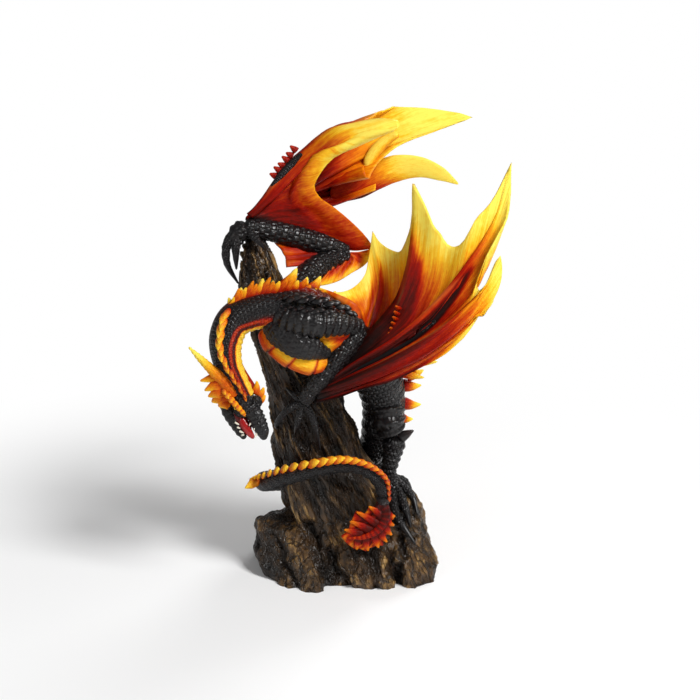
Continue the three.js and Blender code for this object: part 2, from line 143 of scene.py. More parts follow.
def shell(name, bm, place, material, period=None):
    """Moves each point of a plain shape to its place and paints it.

    place(co) returns the points in millimetres, a dict of the paint values that aren't 0, and the pattern
    coordinates.
    period is the count at which the first pattern coordinate comes round to itself.
    """
    mesh = bpy.data.meshes.new(name)
    bm.to_mesh(mesh)
    bm.free()
    co = vectors_of(mesh, "co")
    points, paint, pattern = place(co)
    move_points(mesh, points)
    for key in PAINT:
        store(mesh, key, paint.get(key, 0.0))

    corner_vertex = np.empty(len(mesh.loops), np.int32)
    mesh.loops.foreach_get("vertex_index", corner_vertex)
    uv = np.asarray(pattern, float)[corner_vertex]
    if period:
        starts = np.empty(len(mesh.polygons), np.int32)
        sizes = np.empty(len(mesh.polygons), np.int32)
        mesh.polygons.foreach_get("loop_start", starts)
        mesh.polygons.foreach_get("loop_total", sizes)
        top = np.repeat(np.maximum.reduceat(uv[:, 0], starts), sizes)
        uv[:, 0] += np.where(top - uv[:, 0] > period / 2, period, 0)
        pole = np.abs(co[corner_vertex, 2]) > POLE
        middle = np.repeat(np.add.reduceat(np.where(pole, 0, uv[:, 0]), starts), sizes)
        others = np.repeat(np.add.reduceat((~pole).astype(float), starts), sizes)
        uv[:, 0] = np.where(pole, middle / np.maximum(others, 1), uv[:, 0])
    mesh.uv_layers.new(name="pattern").data.foreach_set("uv", uv.ravel())

    if signed_volume(mesh) < 0:
        mesh.flip_normals()
    smooth(mesh)
    mesh.materials.append(material)
    return linked(name, mesh)


def cast(name, shells):
    """Joins shells into one piece."""
    bpy.ops.object.select_all(action="DESELECT")
    for each in shells:
        each.select_set(True)
    bpy.context.view_layer.objects.active = shells[0]
    bpy.ops.object.join()
    piece = shells[0]
    piece.name = name
    piece.data.name = name
    return piece


def value_of(given, *args):
    return given(*args) if callable(given) else given


def limb(points, radii, *, around=12, steps=24, flat=1.0, up=TOWARDS_VIEWER, swell=0.0, flame=0.0,
         worn=None, columns=12, scales=1.0, material=None, blunt=0.7):
    """A round or flattened limb along a smooth path.

    swell, flame and worn may each be a number or a function of (t, s, angle, radius): the share of the
    path, the millimetres along it, the angle round it (0 and a half turn lie across up, a quarter turn
    faces up) and the radius there. columns scales lie round the limb.
    """
    fine = np.linspace(0, 1, FINE * len(points))
    trace = curve(points, fine)
    length = np.concatenate([[0], np.cumsum(np.linalg.norm(np.diff(trace, axis=0), axis=1))])
    fine_radius = np.maximum(spread(radii, fine), 0.3)
    scale_width = TURN * fine_radius[1:] / columns
    row = np.concatenate([[0], np.cumsum(np.diff(length) / (SCALE_LENGTH * scale_width))])

    def place(co):
        ring = np.arccos(np.clip(co[:, 2], -1, 1)) / math.pi * (steps + 2)
        share = np.clip((ring - 0.5) / (steps + 1), 0, 1)
        s = share * length[-1]
        t = np.interp(s, length, fine)
        angle = np.mod(np.arctan2(co[:, 1], co[:, 0]), TURN)
        centre = curve(points, t)
        ahead = unit(curve(points, t + 1e-3) - curve(points, t - 1e-3))
        back = np.asarray(up, float)
        top = unit(back - ahead * (ahead @ back)[:, None])
        side = np.cross(top, ahead)
        radius = spread(radii, t)
        grow = value_of(swell, t, s, angle, radius)
        cap = np.maximum(blunt * radius, 0.05)
        ends = np.clip(np.minimum(s, length[-1] - s) / cap, 0, 1)
        at_pole = np.abs(co[:, 2]) > POLE
        reach = np.where(at_pole, 0, (radius + grow) * np.sqrt(np.maximum(1 - (1 - ends) ** 2, 0.05)))
        across = -side * np.cos(angle)[:, None] + top * (flat * np.sin(angle))[:, None]
        paint = {
            "burn": value_of(flame, t, s, angle, radius),
            "worn": grow if worn is None else value_of(worn, t, s, angle, radius),
            "scales": value_of(scales, t, s, angle, radius),
        }
        pattern = np.column_stack([angle / TURN * columns, np.interp(s, length, row)])
        return centre + across * reach[:, None], paint, pattern

    return shell("limb", ball(around, steps + 2), place, material or HIDE, period=columns)


def flame_limb(points, radii, **options):
    """A limb in flame paint, without small scales."""
    return limb(points, radii, **{"scales": 0.0, "material": FLAME, **options})


def spike(foot, tip, radius, *, flat=0.6, flame=(0.55, 1.0), bend=0.0, material=None, around=8, steps=7,
          end=POINT):
    """A spine, horn or tooth: flame gives its paint at the foot and at the tip, bend its sideways bow."""
    foot, tip = np.asarray(foot, float), np.asarray(tip, float)
    bow = np.cross(unit(tip - foot), TOWARDS_VIEWER) * bend
    middle = (foot + tip) / 2 + bow
    return limb([foot, middle, tip], [radius, radius * 0.62 + 0.2, end], flat=flat, around=around,
                steps=steps, flame=lambda t, s, a, r: flame[0] + (flame[1] - flame[0]) * rise(0.1, 0.95, t),
                worn=lambda t, s, a, r: np.sin(a) * 0.5, scales=0.0, columns=around,
                material=material or FLAME, blunt=0.3)


def sail(rails, edges, *, columns, rows, root=0.07, skin=1.1, ridge=(2.2, 0.5), billow=0.04, pleats=3.0,
         bands=(), flame=None):
    """A wing skin between rails that leave the wrist side by side.

    edges[i] gives the points of the free edge between the tips of rails[i] and rails[i + 1]. The skin has a
    ridge on each rail and pleats between, and it thins towards the free edge. columns are the grid steps in
    each gap. A band runs beside a rail: (rail, offset, width, change of paint, height, share of the wing at
    which it ends). The change of paint darkens the band: on a raised band it is a darker streak, and on a
    band with negative height, a groove, it is painted shade. flame(gap, u, share, points, wave) gives the
    paint.
    """
    gaps = len(edges)
    edges = [[rails[i][-1], *edge, rails[i + 1][-1]] for i, edge in enumerate(edges)]
    bm = bmesh.new()
    bmesh.ops.create_grid(bm, x_segments=columns * gaps, y_segments=rows, size=1)
    bmesh.ops.solidify(bm, geom=bm.faces[:] + bm.edges[:] + bm.verts[:], thickness=1)

    def surface(column, v):
        gap = np.minimum(column.astype(int), gaps - 1)
        u = column - gap
        where = np.zeros((len(v), 3))
        apart = np.zeros(len(v))
        for i in range(gaps):
            here = gap == i
            a, b = curve(rails[i], v[here]), curve(rails[i + 1], v[here])
            w = u[here][:, None]
            end = curve(rails[i], 1) * (1 - w) + curve(rails[i + 1], 1) * w
            reach = curve(edges[i], u[here]) - end
            where[here] = a * (1 - w) + b * w + reach * v[here][:, None]
            apart[here] = np.linalg.norm(b - a, axis=1)
        return where, gap, u, apart

    def place(co):
        column = (co[:, 0] + 1) / 2 * gaps
        share = (co[:, 1] + 1) / 2
        v = root + (1 - root) * share
        where, gap, u, apart = surface(column, v)
        step = 0.02
        ahead = surface(column, np.minimum(v + step, 1))[0] - surface(column, np.maximum(v - step, 0))[0]
        left = surface(np.maximum(column - step, 0), v)[0]
        right = surface(np.minimum(column + step, gaps - 1e-6), v)[0]
        normal = unit(np.cross(right - left, ahead))
        to_left, to_right = u * apart, (1 - u) * apart
        width = 2.6 - 0.9 * share
        on_ridge = np.maximum(hump(to_left, 0, width), hump(to_right, 0, width))
        fit = np.clip(apart / 18, 0.3, 1.1)
        streaks_and_groove_shade = np.zeros(len(v))
        height = np.zeros(len(v))
        # Each band darkens the paint along a rail: a darker streak on a raised band, painted shade in a band
        # with negative height, a groove.
        for rail, offset, wide, streak_and_shade_change, tall, end in bands:
            far = np.where(gap == rail, to_left, np.where(gap == rail - 1, -to_right, 1e3))
            ragged = end + 0.03 * np.sin(2.3 * far + rail)
            band = hump(far, offset * fit, wide * fit, 4) * rise(0.0, 0.12, share) * (
                1 - rise(ragged, ragged + 0.09, share))
            streaks_and_groove_shade += streak_and_shade_change * band
            height += tall * band
        wander = 0.35 * np.sin(5 * share + 2.3 * gap) + 0.37 * gap
        wave = np.sin(TURN * (pleats * u + wander))
        fine = np.sin(TURN * (3.3 * pleats * u + 2 * wander))
        fade = rise(0, 0.25, share) * (1 - 0.6 * rise(0.75, 1, share)) * np.clip(apart / 14, 0.2, 1)
        half = skin * (1 - 0.55 * share) + on_ridge * np.interp(share, [0, 1], ridge)
        front = np.where(co[:, 2] > -0.5, 1.0, -1.0)
        hollow = billow * apart * 4 * u * (1 - u) * share
        bend = (0.75 * wave * fade + 0.24 * fine * fade) * (1 - on_ridge) - hollow
        points = where + normal * (front * (half + 0.5 * height) + bend + 0.5 * height)[:, None]
        paint = {
            "burn": flame(gap, u, share, points, wave) + streaks_and_groove_shade,
            "worn": 0.5 * on_ridge + 0.35 * wave * fade + 0.2 * fine * fade,
        }
        return points, paint, np.column_stack([column * 4, share * 4])

    return shell("sail", bm, place, FLAME)


def scute(at, ahead, out, length, width, height, flame, material):
    """One pointed, overlapping scale that lies along ahead and stands off its back along out."""
    ahead, out = unit(np.asarray(ahead, float)), np.asarray(out, float)
    out = unit(out - ahead * (ahead @ out))
    side = np.cross(out, ahead)

    def place(co):
        forward = co[:, 2]
        narrow = np.where(forward > 0, 1 - 0.72 * np.abs(forward) ** 1.5, 1 - 0.2 * forward ** 2)
        lift = 0.55 * height * (forward + 1)
        points = (np.asarray(at, float) + np.outer(forward * length / 2, ahead)
                  + np.outer(co[:, 0] * narrow * width / 2, side)
                  + np.outer(co[:, 1] * height / 2 + lift, out))
        paint = {"burn": flame[0] + (flame[1] - flame[0]) * (forward + 1) / 2, "worn": co[:, 1]}
        return points, paint, np.column_stack([forward, co[:, 0]])

    return shell("scute", ball(8, 5), place, material)


def scutes_along(points, out, count, size, flame, sway=0.0, material=None, long=1.5):
    """A row of scutes that overlap along a path, each long times as long as it is wide.

    size and flame are lists along the path. sway sets them to its two sides by turns.
    """
    made = []
    for i in range(count):
        t = (i + 0.5) / count
        at = curve(points, t)[0]
        ahead = (curve(points, t + 0.02) - curve(points, t - 0.02))[0]
        big = float(spread(size, t))
        tone = float(spread(flame, t))
        side = np.cross(unit(ahead), out) * sway * (1 if i % 2 else -1)
        made.append(scute(at + side, ahead, out, big * long, big, big * 0.55,
                          (tone - 0.38, tone + 0.08), material or FLAME))
    return made


# Paint

def feed(tree, socket, value):
    if isinstance(value, bpy.types.NodeSocket):
        tree.links.new(value, socket)
    else:
        socket.default_value = value


def node(tree, kind, inputs=(), **settings):
    """Adds a node. inputs has a value or a link for each socket, by the socket's name or number."""
    made = tree.nodes.new(kind)
    for name, value in settings.items():
        setattr(made, name, value)
    for socket, value in dict(inputs).items():
        feed(tree, made.inputs[socket], value)
    return made


def new_material(name):
    made = bpy.data.materials.new(name)
    made.use_nodes = True
    tree = made.node_tree
    tree.nodes.clear()
    shader = node(tree, "ShaderNodeBsdfPrincipled")
    node(tree, "ShaderNodeOutputMaterial", {"Surface": shader.outputs["BSDF"]})
    return made, tree, shader


def calc(tree, operation, *values):
    return node(tree, "ShaderNodeMath", enumerate(values), operation=operation).outputs[0]


def times(tree, product, *others):
    for other in others:
        product = calc(tree, "MULTIPLY", product, other)
    return product


def centred(tree, value):
    """A value from 0 to 1, moved to lie evenly about 0."""
    return calc(tree, "SUBTRACT", value, 0.5)


def ranged(tree, value, low, high, to_low=0.0, to_high=1.0):
    return node(tree, "ShaderNodeMapRange", enumerate((value, low, high, to_low, to_high)),
                interpolation_type="SMOOTHSTEP").outputs[0]


def mixed(tree, share, a, b):
    return node(tree, "ShaderNodeMix", {0: share, 6: a, 7: b}, data_type="RGBA").outputs[2]


def noise_of(tree, vector, scale, detail=3.0, roughness=0.55):
    inputs = {"Vector": vector, "Scale": scale, "Detail": detail, "Roughness": roughness}
    return node(tree, "ShaderNodeTexNoise", inputs).outputs[0]


def place_of(tree):
    return node(tree, "ShaderNodeTexCoord").outputs["Object"]


def attribute(tree, name):
    return node(tree, "ShaderNodeAttribute", attribute_name=name).outputs["Fac"]


def pattern_uv(tree):
    return node(tree, "ShaderNodeUVMap", uv_map="pattern").outputs["UV"]


def ramp(tree, value, stops):
    made = node(tree, "ShaderNodeValToRGB", {0: value})
    elements = made.color_ramp.elements
    elements[0].position = stops[0][0]
    elements[1].position = stops[-1][0]
    for at, _colour in stops[1:-1]:
        elements.new(at)
    for element, (_at, colour) in zip(elements, stops):
        element.color = (*colour, 1)
    return made.outputs["Color"]


def coat(shader, tree, colour, roughness, specular, relief=None):
    """Finishes a paint. relief is (height, strength, distance in metres)."""
    feed(tree, shader.inputs["Base Color"], colour)
    shader.inputs["Roughness"].default_value = roughness
    shader.inputs["Specular IOR Level"].default_value = specular
    if relief:
        bump = node(tree, "ShaderNodeBump", zip(("Height", "Strength", "Distance"), relief))
        feed(tree, shader.inputs["Normal"], bump.outputs["Normal"])


def new_group(name, inputs, outputs):
    group = bpy.data.node_groups.new(name, "ShaderNodeTree")
    for way, sockets in (("INPUT", inputs), ("OUTPUT", outputs)):
        for label, kind in sockets:
            group.interface.new_socket(label, in_out=way, socket_type=kind)
    return group, group.nodes.new("NodeGroupInput"), group.nodes.new("NodeGroupOutput")


def use_group(tree, group, **inputs):
    return node(tree, "ShaderNodeGroup", inputs, node_tree=group)


# The paint of the whole dragon runs from black through red and orange to pale yellow.
FLAME_STOPS = [
    (0.00, (0.006, 0.0055, 0.006)), (0.16, (0.016, 0.004, 0.003)), (0.34, (0.09, 0.004, 0.002)),
    (0.48, (0.29, 0.005, 0.001)), (0.58, (0.45, 0.030, 0.002)), (0.68, (0.62, 0.12, 0.003)),
    (0.78, (0.78, 0.26, 0.005)), (0.89, (0.90, 0.50, 0.018)), (1.00, (0.94, 0.74, 0.10)),
]


def flame_colour_group():
    """Paint colour from the flame value, with streaks that run along the pattern's second coordinate."""
    group, given, result = new_group(
        "flame colour", [("Flame", "NodeSocketFloat"), ("Streaks", "NodeSocketFloat")],
        [("Color", "NodeSocketColor"), ("Height", "NodeSocketFloat")])
    stretched = node(group, "ShaderNodeMapping", {"Vector": pattern_uv(group), "Scale": (6.0, 0.55, 1.0)})
    broad = noise_of(group, stretched.outputs["Vector"], 1.0, detail=2.0)
    fine = noise_of(group, stretched.outputs["Vector"], 5.0, detail=3.0)
    spots = noise_of(group, place_of(group), 320.0, detail=3.0)
    shift = calc(group, "MULTIPLY_ADD", centred(group, broad), 0.42,
                 calc(group, "MULTIPLY_ADD", centred(group, fine), 0.34,
                      times(group, centred(group, spots), 0.16)))
    shifted = calc(group, "MULTIPLY_ADD", shift, given.outputs["Streaks"], given.outputs["Flame"])
    feed(group, result.inputs["Color"], ramp(group, shifted, FLAME_STOPS))
    feed(group, result.inputs["Height"], fine)
    return group


def scale_relief_group():
    """Rows of small scales in pattern coordinates: their height, and how worn their tops are."""
    group, given, result = new_group(
        "scale relief", [("Strength", "NodeSocketFloat")],
        [("Height", "NodeSocketFloat"), ("Top", "NodeSocketFloat")])
    strength = given.outputs["Strength"]
    split = node(group, "ShaderNodeSeparateXYZ", {0: pattern_uv(group)})
    drift = centred(group, noise_of(group, place_of(group), 260.0, detail=1.0))
    across = calc(group, "MULTIPLY_ADD", drift, 0.35, split.outputs["X"])
    along = calc(group, "MULTIPLY_ADD", drift, 0.5, split.outputs["Y"])
    row = calc(group, "FLOOR", along)
    staggered = calc(group, "MULTIPLY_ADD", calc(group, "MODULO", row, 2.0), 0.5, across)

    def inside(share):
        """1 in the middle of a scale and 0 at its sides."""
        off_middle = calc(group, "ABSOLUTE", calc(group, "MULTIPLY_ADD", share, 2.0, -1.0))
        return calc(group, "SUBTRACT", 1.0, off_middle)

    forward = calc(group, "FRACT", along)
    rim = calc(group, "SMOOTH_MIN", inside(calc(group, "FRACT", staggered)), inside(forward), 0.3)
    dome = ranged(group, rim, 0.0, 0.62)
    height = times(group, calc(group, "MULTIPLY_ADD", forward, 0.35, dome), strength)
    feed(group, result.inputs["Height"], height)
    feed(group, result.inputs["Top"], times(group, ranged(group, rim, 0.32, 0.75), strength))
    return group


FLAME_COLOUR = flame_colour_group()
SCALE_RELIEF = scale_relief_group()


def hide_paint():
    """Black, softly glossy scales, dry-brushed grey on their tops, running into flame paint in places."""
    made, tree, shader = new_material("scaled hide")
    flame = attribute(tree, "burn")
    relief = use_group(tree, SCALE_RELIEF, Strength=attribute(tree, "scales"))
    colour = use_group(tree, FLAME_COLOUR, Flame=flame, Streaks=0.5).outputs["Color"]
    patches = ranged(tree, noise_of(tree, place_of(tree), 75.0, detail=2.0), 0.35, 0.68)
    bare = times(tree, relief.outputs["Top"], patches, ranged(tree, flame, 0.05, 0.4, 0.45, 0.12))
    shade = mixed(tree, bare, colour, (0.031, 0.029, 0.026, 1))
    raised = ranged(tree, attribute(tree, "worn"), 0.2, 1.1, 0.0, 0.28)
    shade = mixed(tree, times(tree, raised, patches), shade, (0.047, 0.043, 0.038, 1))
    coat(shader, tree, shade, 0.32, 0.35, (relief.outputs["Height"], 0.65, 0.0010))
    return made


def flame_paint():
    """Glossy red to yellow paint on the wing skins, spines and scutes, streaked along each form."""
    made, tree, shader = new_material("flame paint")
    worn = attribute(tree, "worn")
    paint = use_group(tree, FLAME_COLOUR, Flame=attribute(tree, "burn"), Streaks=0.75)
    edge = ranged(tree, worn, 0.5, 1.0, 0.0, 0.12)
    shade = mixed(tree, edge, paint.outputs["Color"], (0.95, 0.62, 0.16, 1))
    coat(shader, tree, shade, 0.32, 0.11, (paint.outputs["Height"], 0.35, 0.0007))
    return made


def plain_paint(name, colour, roughness, mottle):
    """One colour, mottled darker in small spots."""
    made, tree, shader = new_material(name)
    dark = tuple(c * (1 - mottle) for c in colour)
    shade = mixed(tree, noise_of(tree, place_of(tree), 500.0), (*dark, 1), (*colour, 1))
    coat(shader, tree, shade, roughness, 0.5)
    return made


def rock_paint():
    """Near-black brown wood and stone, split by cracks and dry-brushed with ochre, under satin varnish."""
    made, tree, shader = new_material("rock and bark")
    wood = attribute(tree, "scales")
    x, y, z = node(tree, "ShaderNodeSeparateXYZ", {0: place_of(tree)}).outputs
    leaned = calc(tree, "MULTIPLY_ADD", z, 0.3, x)
    pressed = times(tree, z, ranged(tree, wood, 0.0, 1.0, 0.5, 0.13))
    where = node(tree, "ShaderNodeCombineXYZ", {0: leaned, 1: y, 2: pressed}).outputs[0]
    worn = attribute(tree, "worn")
    grain = noise_of(tree, where, 330.0, detail=4.0, roughness=0.6)
    patches = noise_of(tree, place_of(tree), 60.0, detail=3.0)

    def split(scale, width):
        field = noise_of(tree, where, scale, detail=4.0, roughness=0.5)
        return ranged(tree, calc(tree, "ABSOLUTE", centred(tree, field)), 0.0, width)

    wide, narrow = split(85.0, 0.055), split(190.0, 0.07)
    solid = times(tree, wide, calc(tree, "MULTIPLY_ADD", narrow, 0.6, 0.4))
    height = calc(tree, "MULTIPLY_ADD", solid, 1.3, grain)
    base = ramp(tree, patches, [(0.30, (0.005, 0.0035, 0.0025)), (0.52, (0.017, 0.009, 0.004)),
                                (0.72, (0.045, 0.022, 0.008))])
    lifted = calc(tree, "MULTIPLY_ADD", centred(tree, grain), 2.4, worn)
    brown = times(tree, ranged(tree, lifted, -0.4, 0.8), ranged(tree, patches, 0.34, 0.60, 0.4, 1.0),
                  ranged(tree, wood, 0.0, 1.0, 1.0, 0.72), solid)
    shade = mixed(tree, brown, base, (0.13, 0.068, 0.023, 1))
    ochre = times(tree, ranged(tree, lifted, 0.35, 1.0), ranged(tree, patches, 0.38, 0.60), solid, 0.8)
    shade = mixed(tree, ochre, shade, (0.42, 0.25, 0.085, 1))
    coat(shader, tree, shade, 0.30, 0.38, (height, 0.9, 0.0016))
    return made


HIDE = hide_paint()
FLAME = flame_paint()
MOUTH = plain_paint("mouth red", (0.20, 0.008, 0.006), 0.25, 0.7)
TONGUE = plain_paint("tongue red", (0.42, 0.012, 0.012), 0.2, 0.5)
TOOTH = plain_paint("tooth white", (0.86, 0.80, 0.66), 0.3, 0.2)
STONE = rock_paint()


# The plinth

BOULDERS = [
    {"at": (-33, -6, 16), "half": (24.5, 31, 22), "turn": 0.4},
    {"at": (-19, -25, 4), "half": (21, 20.5, 27), "turn": 1.1},
    {"at": (14, -20, 2), "half": (26, 20, 33), "turn": 2.3},
    {"at": (36, 2, 15), "half": (18.5, 30, 33), "turn": 1.7},
    {"at": (42, -18, 5), "half": (15.5, 21, 26), "turn": 0.2},
    {"at": (12, 27, 8), "half": (36, 24, 30), "turn": 2.9},
    {"at": (-27, 20, 5), "half": (27, 25, 26), "turn": 0.9},
]
TRUNK_LINE = [
    (-2, 0, -8), (-5, 0, 40), (-13, 0, 66), (-18, 0, 86), (-22, 0, 104),
    (-29, 0, 126), (-38, 0, 152), (-49, 1, 180), (-52, 2, 200), (-53, 3, 213),
]
TRUNK_RADII = [38, 31, 27, 25, 21.5, 18, 15.5, 13.5, 8.5, 4]
ROCK_VOXEL = 1.15 * MM
LOWEST, HIGHEST = -4.0, 2.8  # the relief's limits, before the cracks
WORN_HEIGHT = 2.4  # relief on which the dry-brushing is full
FACE_CALM = 0.52  # share of the relief that a flat face loses
FACE_PRESS = 0.92  # share of the way to its plane that a flat face is pressed
FACE_TOP = (34, 46)  # heights between which the flat faces end
TRUNK_FOOT = (20, 50)  # heights between which rock turns into trunk
# Each flat face of the rock: the way it faces, its distance from the origin, and the span of x where it ends
FACETS = [
    ((-0.50, -0.78, 0.38), 45.5, (0, 6)), ((0.72, -0.66, 0.20), 19.5, (-2, 5)),
    ((-0.80, -0.45, 0.40), 56.0, (-10, 0)), ((-0.20, -0.30, 0.93), 42.0, (-14, -4)),
    ((0.60, -0.72, 0.36), 54.5, (90, 91)),
]
# Each crack in the front of the rock: x at its top, height of its top, x at the floor, depth and width
FISSURES = [
    (-20, 38, -7, 5.2, 2.6), (-12, 26, 3, 3.8, 2.4), (16, 28, 22, 3.6, 1.9), (-44, 28, -29, 3.0, 1.7),
    (39, 34, 33, 3.4, 1.9), (30, 24, 35, 3.0, 1.6),
]


def boulder(lump):
    def place(co):
        turn = lump["turn"]
        swell = 0.07 * np.sin(5.1 * co[:, 0] + 2 * turn) * np.sin(4.3 * co[:, 1] - turn)
        ledge = 0.05 * np.sin(6 * co[:, 2] + 3 * co[:, 0])
        reach = np.outer(1 + swell + ledge, lump["half"])
        return np.asarray(lump["at"]) + co * reach, {}, co[:, :2]

    return shell("boulder", ball(48, 32), place, STONE)


def trunk_core():
    def bark(t, s, angle, radius):
        return radius * (0.07 * np.sin(5 * angle + 3 * t) + 0.04 * np.sin(8 * angle + 9 * t) - 0.03)

    return limb(TRUNK_LINE, TRUNK_RADII, around=72, steps=110, swell=bark, up=AWAY, material=STONE,
                blunt=0.4)


def ridged(x, y, z, octaves=4):
    return noise.ridged_multi_fractal(Vector((x, y, z)), 0.9, 2.1, octaves, 1.0, 2.0)


def stone_relief(x, y, z):
    """A rock's surface in millimetres: broad and near ridges, creases and grit."""
    broad = ridged(x * 0.030 + 3, y * 0.030, z * 0.034) - 1.0
    near = ridged(x * 0.085, y * 0.085 + 7, z * 0.07, 3) - 1.0
    crease = abs(noise.noise(Vector((x * 0.11 + 5, y * 0.11, z * 0.05)))) * 3.0 - 0.8
    grit = noise.noise(Vector((x * 0.38, y * 0.38, z * 0.30)))
    return 3.0 * broad + 1.4 * near + 1.1 * crease + 0.55 * grit


def timber_relief(turn, z):
    """The trunk's surface in millimetres: long ridges and grooves that wind slowly round it."""
    a = turn + 0.012 * z
    cx, cy = math.cos(a), math.sin(a)
    long_ridge = ridged(cx * 2.6, cy * 2.6, z * 0.016) - 1.0
    short_ridge = ridged(cx * 6.0 + 9, cy * 6.0, z * 0.045, 3) - 1.0
    groove = abs(noise.noise(Vector((cx * 7.5, cy * 7.5 + 4, z * 0.03)))) * 3.0 - 0.8
    return 2.2 * long_ridge + 1.2 * short_ridge + 1.1 * groove


def weld(piece):
    """Makes one surface of the lumps that meet in a piece."""
    remesh = piece.modifiers.new("weld", "REMESH")
    remesh.mode = "VOXEL"
    remesh.voxel_size = ROCK_VOXEL
    evaluated = piece.evaluated_get(bpy.context.evaluated_depsgraph_get())
    mesh = bpy.data.meshes.new_from_object(evaluated)
    piece.modifiers.clear()
    piece.data = mesh
    return mesh


def flatten(co):
    """Presses points back to the rock's flat faces, and says which of them are on one."""
    on_face = np.zeros(len(co))
    for way, distance, (start, end) in FACETS:
        way = unit(np.array(way))
        past = np.maximum(co @ way - distance, 0) * (1 - rise(start, end, co[:, 0]))
        past *= 1 - rise(*FACE_TOP, co[:, 2])
        co = co - np.outer(past * FACE_PRESS, way)
        on_face = np.maximum(on_face, rise(0, 1.2, past))
    return co, on_face


def find_trunk(co):
    """How far each point is trunk, from 0 to 1, and its turn round the trunk's line."""
    share = np.linspace(0, 1, 200)
    axis = curve(TRUNK_LINE, share)
    z = co[:, 2]
    dx = co[:, 0] - np.interp(z, axis[:, 2], axis[:, 0])
    dy = co[:, 1] - np.interp(z, axis[:, 2], axis[:, 1])
    radius = np.interp(z, axis[:, 2], spread(TRUNK_RADII, share))
    return (1 - rise(1.1, 1.3, np.hypot(dx, dy) / radius)) * rise(*TRUNK_FOOT, z), np.arctan2(dy, dx)


def crack(lift, co):
    """Lowers the relief along each crack in the front of the rock."""
    for top_x, top_z, floor_x, deep, wide in FISSURES:
        wander = 1.6 * np.sin(0.35 * co[:, 2] + top_x)
        line = floor_x + (top_x - floor_x) * co[:, 2] / top_z + wander
        in_front = (1 - rise(top_z - 6, top_z + 4, co[:, 2])) * (co[:, 1] < 0)
        lift = lift - deep * hump(co[:, 0] - line, 0, wide) * in_front
    return lift


def cut_at_floor(mesh):
    """Cuts a mesh off at the floor and closes the cut."""
    bm = bmesh.new()
    bm.from_mesh(mesh)
    bmesh.ops.bisect_plane(bm, geom=bm.verts[:] + bm.edges[:] + bm.faces[:], dist=1e-6,
                           plane_co=(0, 0, 0), plane_no=(0, 0, -1), clear_outer=True)
    bmesh.ops.holes_fill(bm, edges=[edge for edge in bm.edges if edge.is_boundary], sides=0)
    bmesh.ops.recalc_face_normals(bm, faces=bm.faces[:])
    bm.to_mesh(mesh)
    bm.free()


def rock_and_trunk():
    piece = cast("rock_and_trunk", [boulder(lump) for lump in BOULDERS] + [trunk_core()])
    mesh = weld(piece)
    co, on_face = flatten(vectors_of(mesh, "co") / MM)
    move_points(mesh, co)
    mesh.update()
    wood, turn = find_trunk(co)
    lift = np.zeros(len(co))
    for i, (x, y, z) in enumerate(co):
        if wood[i] < 1:
            lift[i] = stone_relief(x, y, z) * (1 - FACE_CALM * on_face[i]) * (1 - wood[i])
        if wood[i] > 0:
            lift[i] += timber_relief(turn[i], z) * wood[i]
    lift = crack(np.clip(lift, LOWEST, HIGHEST), co)
    move_points(mesh, co + vectors_of(mesh, "normal") * lift[:, None])
    store(mesh, "worn", lift / WORN_HEIGHT + 0.2 * on_face)
    store(mesh, "scales", wood)
    cut_at_floor(mesh)
    smooth(mesh)
    mesh.materials.clear()
    mesh.materials.append(STONE)
    return piece


# The dragon's neck, body and the root of its tail

SPINE = [
    (-57, -50, 126), (-63, -50, 138), (-68, -48, 149), (-69, -45, 162), (-64, -42, 173), (-52, -39, 178),
    (-40, -36, 179), (-25, -33, 177), (-11, -28, 165), (6, -16, 148), (20, -3, 128), (25, 5, 108),
    (24, 12, 88), (19, 25, 68),
]
SPINE_RADII = [6, 7, 8.5, 10, 10.5, 11, 12.5, 15.5, 17.5, 16, 15.5, 13.5, 12.5, 9]
THROAT_PLATE = 5.2  # millimetres from seam to seam


def body():
    def throat(t, angle):
        return rise(0.58, 0.74, np.cos(angle)) * (1 - rise(0.40, 0.50, t))

    def swell(t, s, angle, radius):
        plates = np.abs(np.sin(math.pi * s / THROAT_PLATE))
        folds = 0.35 * np.sin(TURN * s / 9 + 1.2 * np.sin(2 * angle)) * rise(0.5, 0.62, t)
        under_arm = -3.2 * hump(t, 0.60, 0.10) * rise(0.1, 0.9, np.sin(angle))
        return throat(t, angle) * (plates - 0.4) * 0.7 + folds + under_arm

    def flame(t, s, angle, radius):
        neck = 1 - rise(0.40, 0.52, t)
        seam = 1 - rise(0.0, 0.35, np.abs(np.sin(math.pi * s / THROAT_PLATE)))
        yellow = throat(t, angle) * (0.92 - 0.22 * seam)
        red = neck * hump(np.cos(angle), 0.40, 0.15, 4) * 0.58
        under = rise(-0.1, 0.5, np.cos(angle)) * hump(t, 0.43, 0.07) * 0.62
        glow = rise(0.80, 0.97, -np.cos(angle)) * 0.5 * hump(t, 0.45, 0.16)
        return np.maximum.reduce([yellow, red, under, glow])

    def scales(t, s, angle, radius):
        return 1 - 0.5 * throat(t, angle)

    return limb(SPINE, SPINE_RADII, around=56, steps=180, swell=swell, flame=flame, columns=28,
                scales=scales)


BELLY = [(-47, -41, 168), (-41.5, -44.5, 160), (-35, -46, 155), (-27.5, -46.5, 150.5), (-18, -46, 147),
         (-8, -41, 147.5)]
BELLY_PLATE = 13.0  # millimetres from seam to seam
CHEST_FLAP = [(-46, -43, 173), (-38, -48.5, 167.5), (-28, -51, 162.2), (-18, -50.5, 158), (-7, -44, 152.5)]


